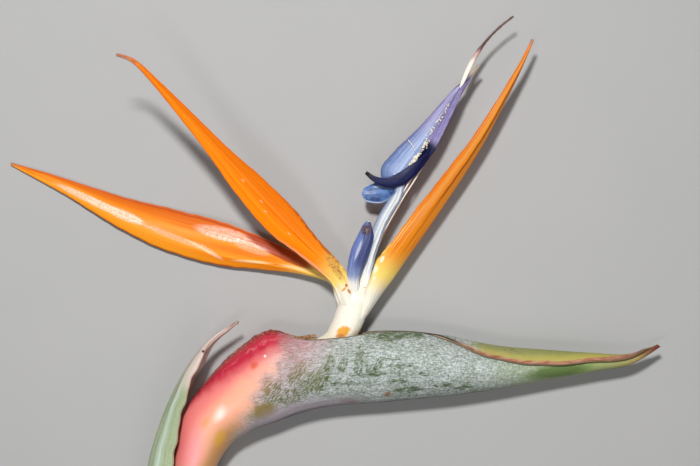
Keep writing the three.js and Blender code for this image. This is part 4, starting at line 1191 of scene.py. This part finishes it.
head = f.mix("#4e669c", "#8ba0cc", (vein + f.across.between(0.9, -0.4) * 0.6 - 0.2))
head = f.over(head,
    (f.mix("#8a80b0", "#b0a6cc", vein), f.y.between(74, 90) * 0.85),
    ("#5d5590", f.across.between(0.45, 0.85) * f.y.between(72, 84) * 0.6),
    # Painted highlight: a pale sheen band along the wing.
    ("#bccbea", (f.across + (vein - 0.5) * 0.4).near(-0.35, 0.4) * f.y.between(64, 70) * f.y.between(90, 78)
     * 0.7),
    ("#34406e", fine.between(0.58, 0.7) * 0.55),
    ("#c6c0d8", f.fibres(8, 50, 2, 0.6).between(0.6, 0.7) * 0.5))
colour = f.mix(claw, head, f.y.between(60, 66))
colour = f.mix(colour, "#262a4c", abs(f.across).between(0.86, 0.96) * f.y.between(60, 67) * 0.85)
colour = f.mix(colour, "#f0ead6", f.noise(0.5, 3).between(0.6, 0.66) * f.across.between(-0.55, -0.9)
               * f.y.between(66, 72))
cup_side = (f.y - f.x * 0.6).between(46.5, 48)
cup_on = f.y.between(67.0, 64) * f.x.between(23.5, 21.5) * f.y.between(54, 56) * cup_side
cup = f.mix("#223c70", "#4f78b4", (vein * 0.5 + f.noise(3, 2)).between(0.55, 0.95))
cup = f.over(cup,
    # Painted highlight: a pale sheen at the top of the cup.
    ("#cfe0f4", f.mark(17.5, 63.2, 4.6, 0.9, 8, 0.3).between(0.1, 0.7) * 0.6),
    ("#c3cbe0", f.across.between(0.78, 0.86) * f.across.between(0.97, 0.9)),
    ("#222a4a", f.across.between(0.93, 0.98) * 0.8))
colour = f.mix(colour, cup, cup_on)
f.set(base_color=colour, roughness=0.28 + fine * 0.14)

make_piece("blue_wing", [
    petal_part(beside_groove(WING), 260, 40, wing_relief, 71, 0.03),
    petal_part(CUP_BARB, 90, 36, petal_relief(5, 0.015), 73, 0.012, 0.5),
], "arrow_petal_wing", f)

# %% [markdown]
# ### Trough
# The far petal is a deep trough that holds the stamens. On its near margin grows a curved horn,
# navy in colour and painted near black as the shade of its underside. Both are one piece, as
# they are on the plant.

# %% Trough and horn
f, vein, fine = petal_finish("trough_skin", (6, 10), (14, 34), roughness=0.4, specular_ior_level=0.2)
claw = f.mix("#c3c7d2", "#edeef0", vein)
claw = f.mix(claw, "#55597a", f.across.between(-0.72, -0.95) * 0.8)
head = f.mix("#6a6098", "#9d93c4", vein)
head = f.over(head,
    ("#b9b0d2", f.fibres(5, 40, 2, 0.6).between(0.52, 0.64) * 0.8),
    ("#2f2c54", f.fibres(4, 30, 2, 0.6).between(0.57, 0.66) * 0.8),
    ("#2c2a4c", abs(f.across).between(0.86, 0.96) * 0.8),
    (f.mix("#8a6a50", "#e2d6c0", fine), f.y.between(99.0, 101.5)))
colour = f.mix(claw, head, f.y.between(58, 68))
# Painted shade: a near-black patch on the trough beside the horn.
dark = f.mark(31.5, 73.0, 8.0, 3.4, 55, 0.5).between(0.05, 0.5)
colour = f.mix(colour, "#14152c", dark)
horn_on = f.z.between(MID + 2.4, MID + 3.2) * f.y.between(78, 75)
# The horn is navy, painted near black as the shade of its underside, and blacker at its left end.
horn = f.mix("#0a0f32", "#1c2764", vein.between(0.4, 0.7))
horn = f.mix(horn, "#6a6aa0", f.mark(19.5, 66.2, 3.4, 0.8, 6, 0.2).between(0.2, 0.8) * 0.7)
horn = f.mix(horn, "#0b0c18", f.x.between(15.5, 13.0))
colour = f.mix(colour, horn, horn_on)
f.set(base_color=colour, roughness=0.3 + fine * 0.14)

make_piece("blue_trough", [
    petal_part(beside_groove(TROUGH) + TROUGH_TIP, 260, 56, petal_relief(3), 81, 0.02),
    petal_part(beside_groove(TROUGH_LIP), 160, 24, petal_relief(7, 0.05), 85, 0.04),
    petal_part(HORN_BARB, 140, 24, petal_relief(6, 0.04), 83, 0.03),
], "arrow_petal_trough", f)

# %% [markdown]
# ### Nectary petal
# The third petal is short and boat-shaped, and covers the nectar at the arrow's foot. It is
# folded along a ridge: navy beyond it, violet-blue before it, and white at its base.

# %% Nectary petal
NECTARY_SPINE = stations("half wrap roll",
    (7.9, 25.4, MID + 2.2, 1.8, -44, -14), (7.7, 32.6, MID + 3.7, 2.4, -44, -16),
    (9.5, 40.2, MID + 4.4, 3.4, -46, -18), (11.8, 46.0, MID + 4.5, 2.9, -46, -16),
    (12.6, 49.4, MID + 4.4, 1.7, -36, -12), (13.2, 51.2, MID + 4.3, 0.35, -10, -10))


def nectary_relief(t, v):
    return petal_relief(4)(t, v) + 0.3 * hump(v, -0.05, 0.08) * math.sin(math.pi * t)


f, vein, fine = petal_finish("nectary_skin", (5, 10), (10, 30), roughness=0.3, coat_weight=0.3,
                             coat_roughness=0.16)
blue = f.mix("#43589e", "#7f92cc", vein)
blue = f.over(blue,
    ("#c3cdea", f.fibres(5, 22, 3, 0.6).between(0.58, 0.68) * f.across.between(0.1, 0.3) * 0.7),
    (f.mix("#20264e", "#3a4580", fine), f.across.between(0.0, -0.16) * 0.9),
    ("#10142c", f.across.near(-0.03, 0.06) * f.along.between(0.25, 0.4) * 0.8),
    ("#2c3566", f.across.between(0.9, 0.98) * 0.7),
    (f.mix("#8f9fc8", "#f4f0ea", f.y.between(33.5, 29.5)), (f.y + (vein - 0.5) * 6).between(38.0, 30.0)),
    # Painted highlight: a pale line along the ridge.
    ("#dfe4f4", f.mark(9.6, 41.5, 5.5, 0.7, 70, 0.3).between(0.1, 0.6) * 0.6),
    (f.mix("#2a2030", "#7a5648", f.noise(0.7, 3).between(0.45, 0.6)),
     f.mark(12.3, 48.2, 2.6, 2.2, 60, 0.7, 0.9).between(0.05, 0.5) * 0.9),
    ("#f0e8d0", f.along.between(0.962, 0.98)))
f.set(base_color=blue, roughness=0.26 + fine * 0.14)
make_piece("nectary_petal_skin", [
    petal_part(NECTARY_SPINE, 130, 44, nectary_relief, 91, 0.02)], "nectary_petal", f)

# %% [markdown]
# ## Style and stamens
# The style runs inside the arrow and leaves its tip as a white stigma that dries to a brown
# thread. Five stamens lie beside it in the groove; they shed cream pollen, which sticks in
# crumbs along the slit. The crumbs are real grains of mesh, joined into one piece.

# %% Style
STYLE_RADIUS = 0.5


def thread(on, left, up, radius):
    return dict(at=(on, left, up), wide=radius, deep=radius)


STYLE_LINE = beside_groove([
    thread(0.06, -0.1, -0.45, STYLE_RADIUS * 0.8), thread(0.25, -0.2, -0.6, STYLE_RADIUS),
    thread(0.5, -0.2, -0.6, STYLE_RADIUS), thread(0.75, -0.2, -0.6, STYLE_RADIUS),
    thread(0.94, -0.1, -0.25, STYLE_RADIUS * 0.8),
]) + stations("wide deep",
    (46.7, 102.2, MID + 2.4, 0.85, 0.7), (49.3, 107.2, MID + 2.8, 0.75, 0.6),
    (52.9, 112.3, MID + 3.2, 0.45, 0.45), (57.4, 116.8, MID + 3.6, 0.4, 0.4),
    (61.8, 120.2, MID + 4.0, 0.35, 0.35))


def style_flute(t, turn):
    return 1 + 0.1 * np.sin(3 * turn + 14 * t) + 0.12 * wander(t, 95, (11, 23, 37)) * smooth(t, 0.55, 0.7)


f = Finish("style_skin", roughness=0.5)
thread_colour = f.mix("#e9e2d0", "#f6f2e6", f.noise(0.8, 3))
thread_colour = f.mix(thread_colour, "#c9958e", f.y.between(104.5, 107.5) * 0.8)
thread_colour = f.mix(thread_colour, f.mix("#4a2f2a", "#6f4a40", f.noise(0.7, 3)), f.y.between(107.5, 110.0))
f.set(base_color=thread_colour)
f.relief(f.noise(0.4, 3), 0.1)
make_piece("style_thread", [
    stem_part(sampled(STYLE_LINE, 260), 20, style_flute, dome=(0.5, 0.6))], "style", f)

# %% [markdown]
# ### Stamens
# Five stamens lie close together between the two blue petals. They could be five stems, but they
# touch all along, so one stem with five ridges gives the same form in a single closed skin. Two
# thin threads lie beside them on the claw.

# %% Stamens
STAMEN_LINE = beside_groove([
    thread(0.03, 0.15, 0.4, 0.34), thread(0.2, 0.25, 0.72, 0.44), thread(0.5, 0.2, 0.65, 0.48),
    thread(0.62, 0.1, 0.75, 0.66), thread(0.8, 0.1, 0.75, 0.64), thread(0.9, 0, 0.5, 0.36)])
STAMEN_COUNT, STAMEN_RIDGE = 5, 0.22


def stamen_flute(t, turn):
    return 1 + STAMEN_RIDGE * (np.abs(np.cos(turn * STAMEN_COUNT / 2)) - 0.5)


CLAW_THREADS = [[thread(0.05, left, up, 0.2), thread(0.2, left, up + 0.1, 0.24),
                 thread(0.38, left * 1.1, up, 0.22),
                 thread(0.52, left * 1.6, up - 0.3, 0.26), thread(0.6, left * 1.7, up - 0.6, 0.3)]
                for left, up in ((-0.7, 2.25), (-1.5, 1.55))]
pollen_finish = f = Finish("pollen_grains", roughness=0.8)
f.set(base_color=f.mix("#efe4c8", "#fffaf0", f.noise(0.4, 3)))
f.relief(f.noise(0.3, 3), 0.15)
make_piece("stamen_bundle", [
    stem_part(sampled(STAMEN_LINE, 160), 50, stamen_flute, dome=(0.4, 0.4)),
    *[stem_part(sampled(beside_groove(line), 120), 12, dome=(0.4, 0.4)) for line in CLAW_THREADS],
], "stamens", f)

# %% [markdown]
# ### Pollen crumbs
# Cream pollen clings to the slit in clumps. Bump could only hint at it, so each crumb is a small
# octahedron whose corners are moved at random. The seed makes them the same in every run. One
# pale hair that lies across the wing belongs to this piece too.

# %% Pollen crumbs
CRUMBS = 260
CLUMPS = [(0.585, 1.0), (0.62, 0.8), (0.66, 0.6), (0.71, 0.5), (0.775, 1.1), (0.83, 0.8),
          (0.885, 0.8)]  # on, left
CLUMP_SHARES = [0.1, 0.26, 0.12, 0.22, 0.12, 0.1, 0.08]
CRUMB_SEED = 12
SPREAD_ON, SPREAD_ASIDE = 0.014, 0.42  # how far crumbs stray along the groove, and in mm beside it
FIRST_ON, LAST_ON = 0.53, 0.97  # no crumb lies beyond these


def crumb_part(centre, size, chance):
    """One grain: an octahedron with its corners moved a little."""
    corners = np.array([(1, 0, 0), (-1, 0, 0), (0, 1, 0), (0, -1, 0), (0, 0, 1), (0, 0, -1)], float)
    corners *= size * (0.7 + 0.6 * chance.random((6, 1)))
    faces = [(0, 2, 4), (2, 1, 4), (1, 3, 4), (3, 0, 4), (2, 0, 5), (1, 2, 5), (3, 1, 5), (0, 3, 5)]
    values = {"along": np.zeros(6), "across": np.zeros(6), "side": np.ones(6)}
    return corners + centre, faces, values


chance = np.random.default_rng(CRUMB_SEED)
crumbs = []
for _ in range(CRUMBS):
    clump, aside = CLUMPS[chance.choice(len(CLUMPS), p=CLUMP_SHARES)]
    on = min(max(chance.normal(clump, SPREAD_ON), FIRST_ON), LAST_ON)
    row = row_on(GROOVE, on)
    to_left = chance.normal(aside, SPREAD_ASIDE)
    up = 2.0 + 0.5 * chance.random()
    spot = row["at"] + row["left"] * to_left + row["face"] * up
    crumbs.append(crumb_part(spot, 0.1 + 0.42 * chance.random() ** 2, chance))
HAIR = stations("wide deep",
    (26.4, 78.6, MID + 4.4, 0.12, 0.12), (28.0, 76.4, MID + 5.0, 0.16, 0.14),
    (28.6, 74.9, MID + 4.6, 0.1, 0.1))
crumbs.append(stem_part(sampled(HAIR, 24), 8))
make_piece("pollen_crumbs", crumbs, None, pollen_finish)
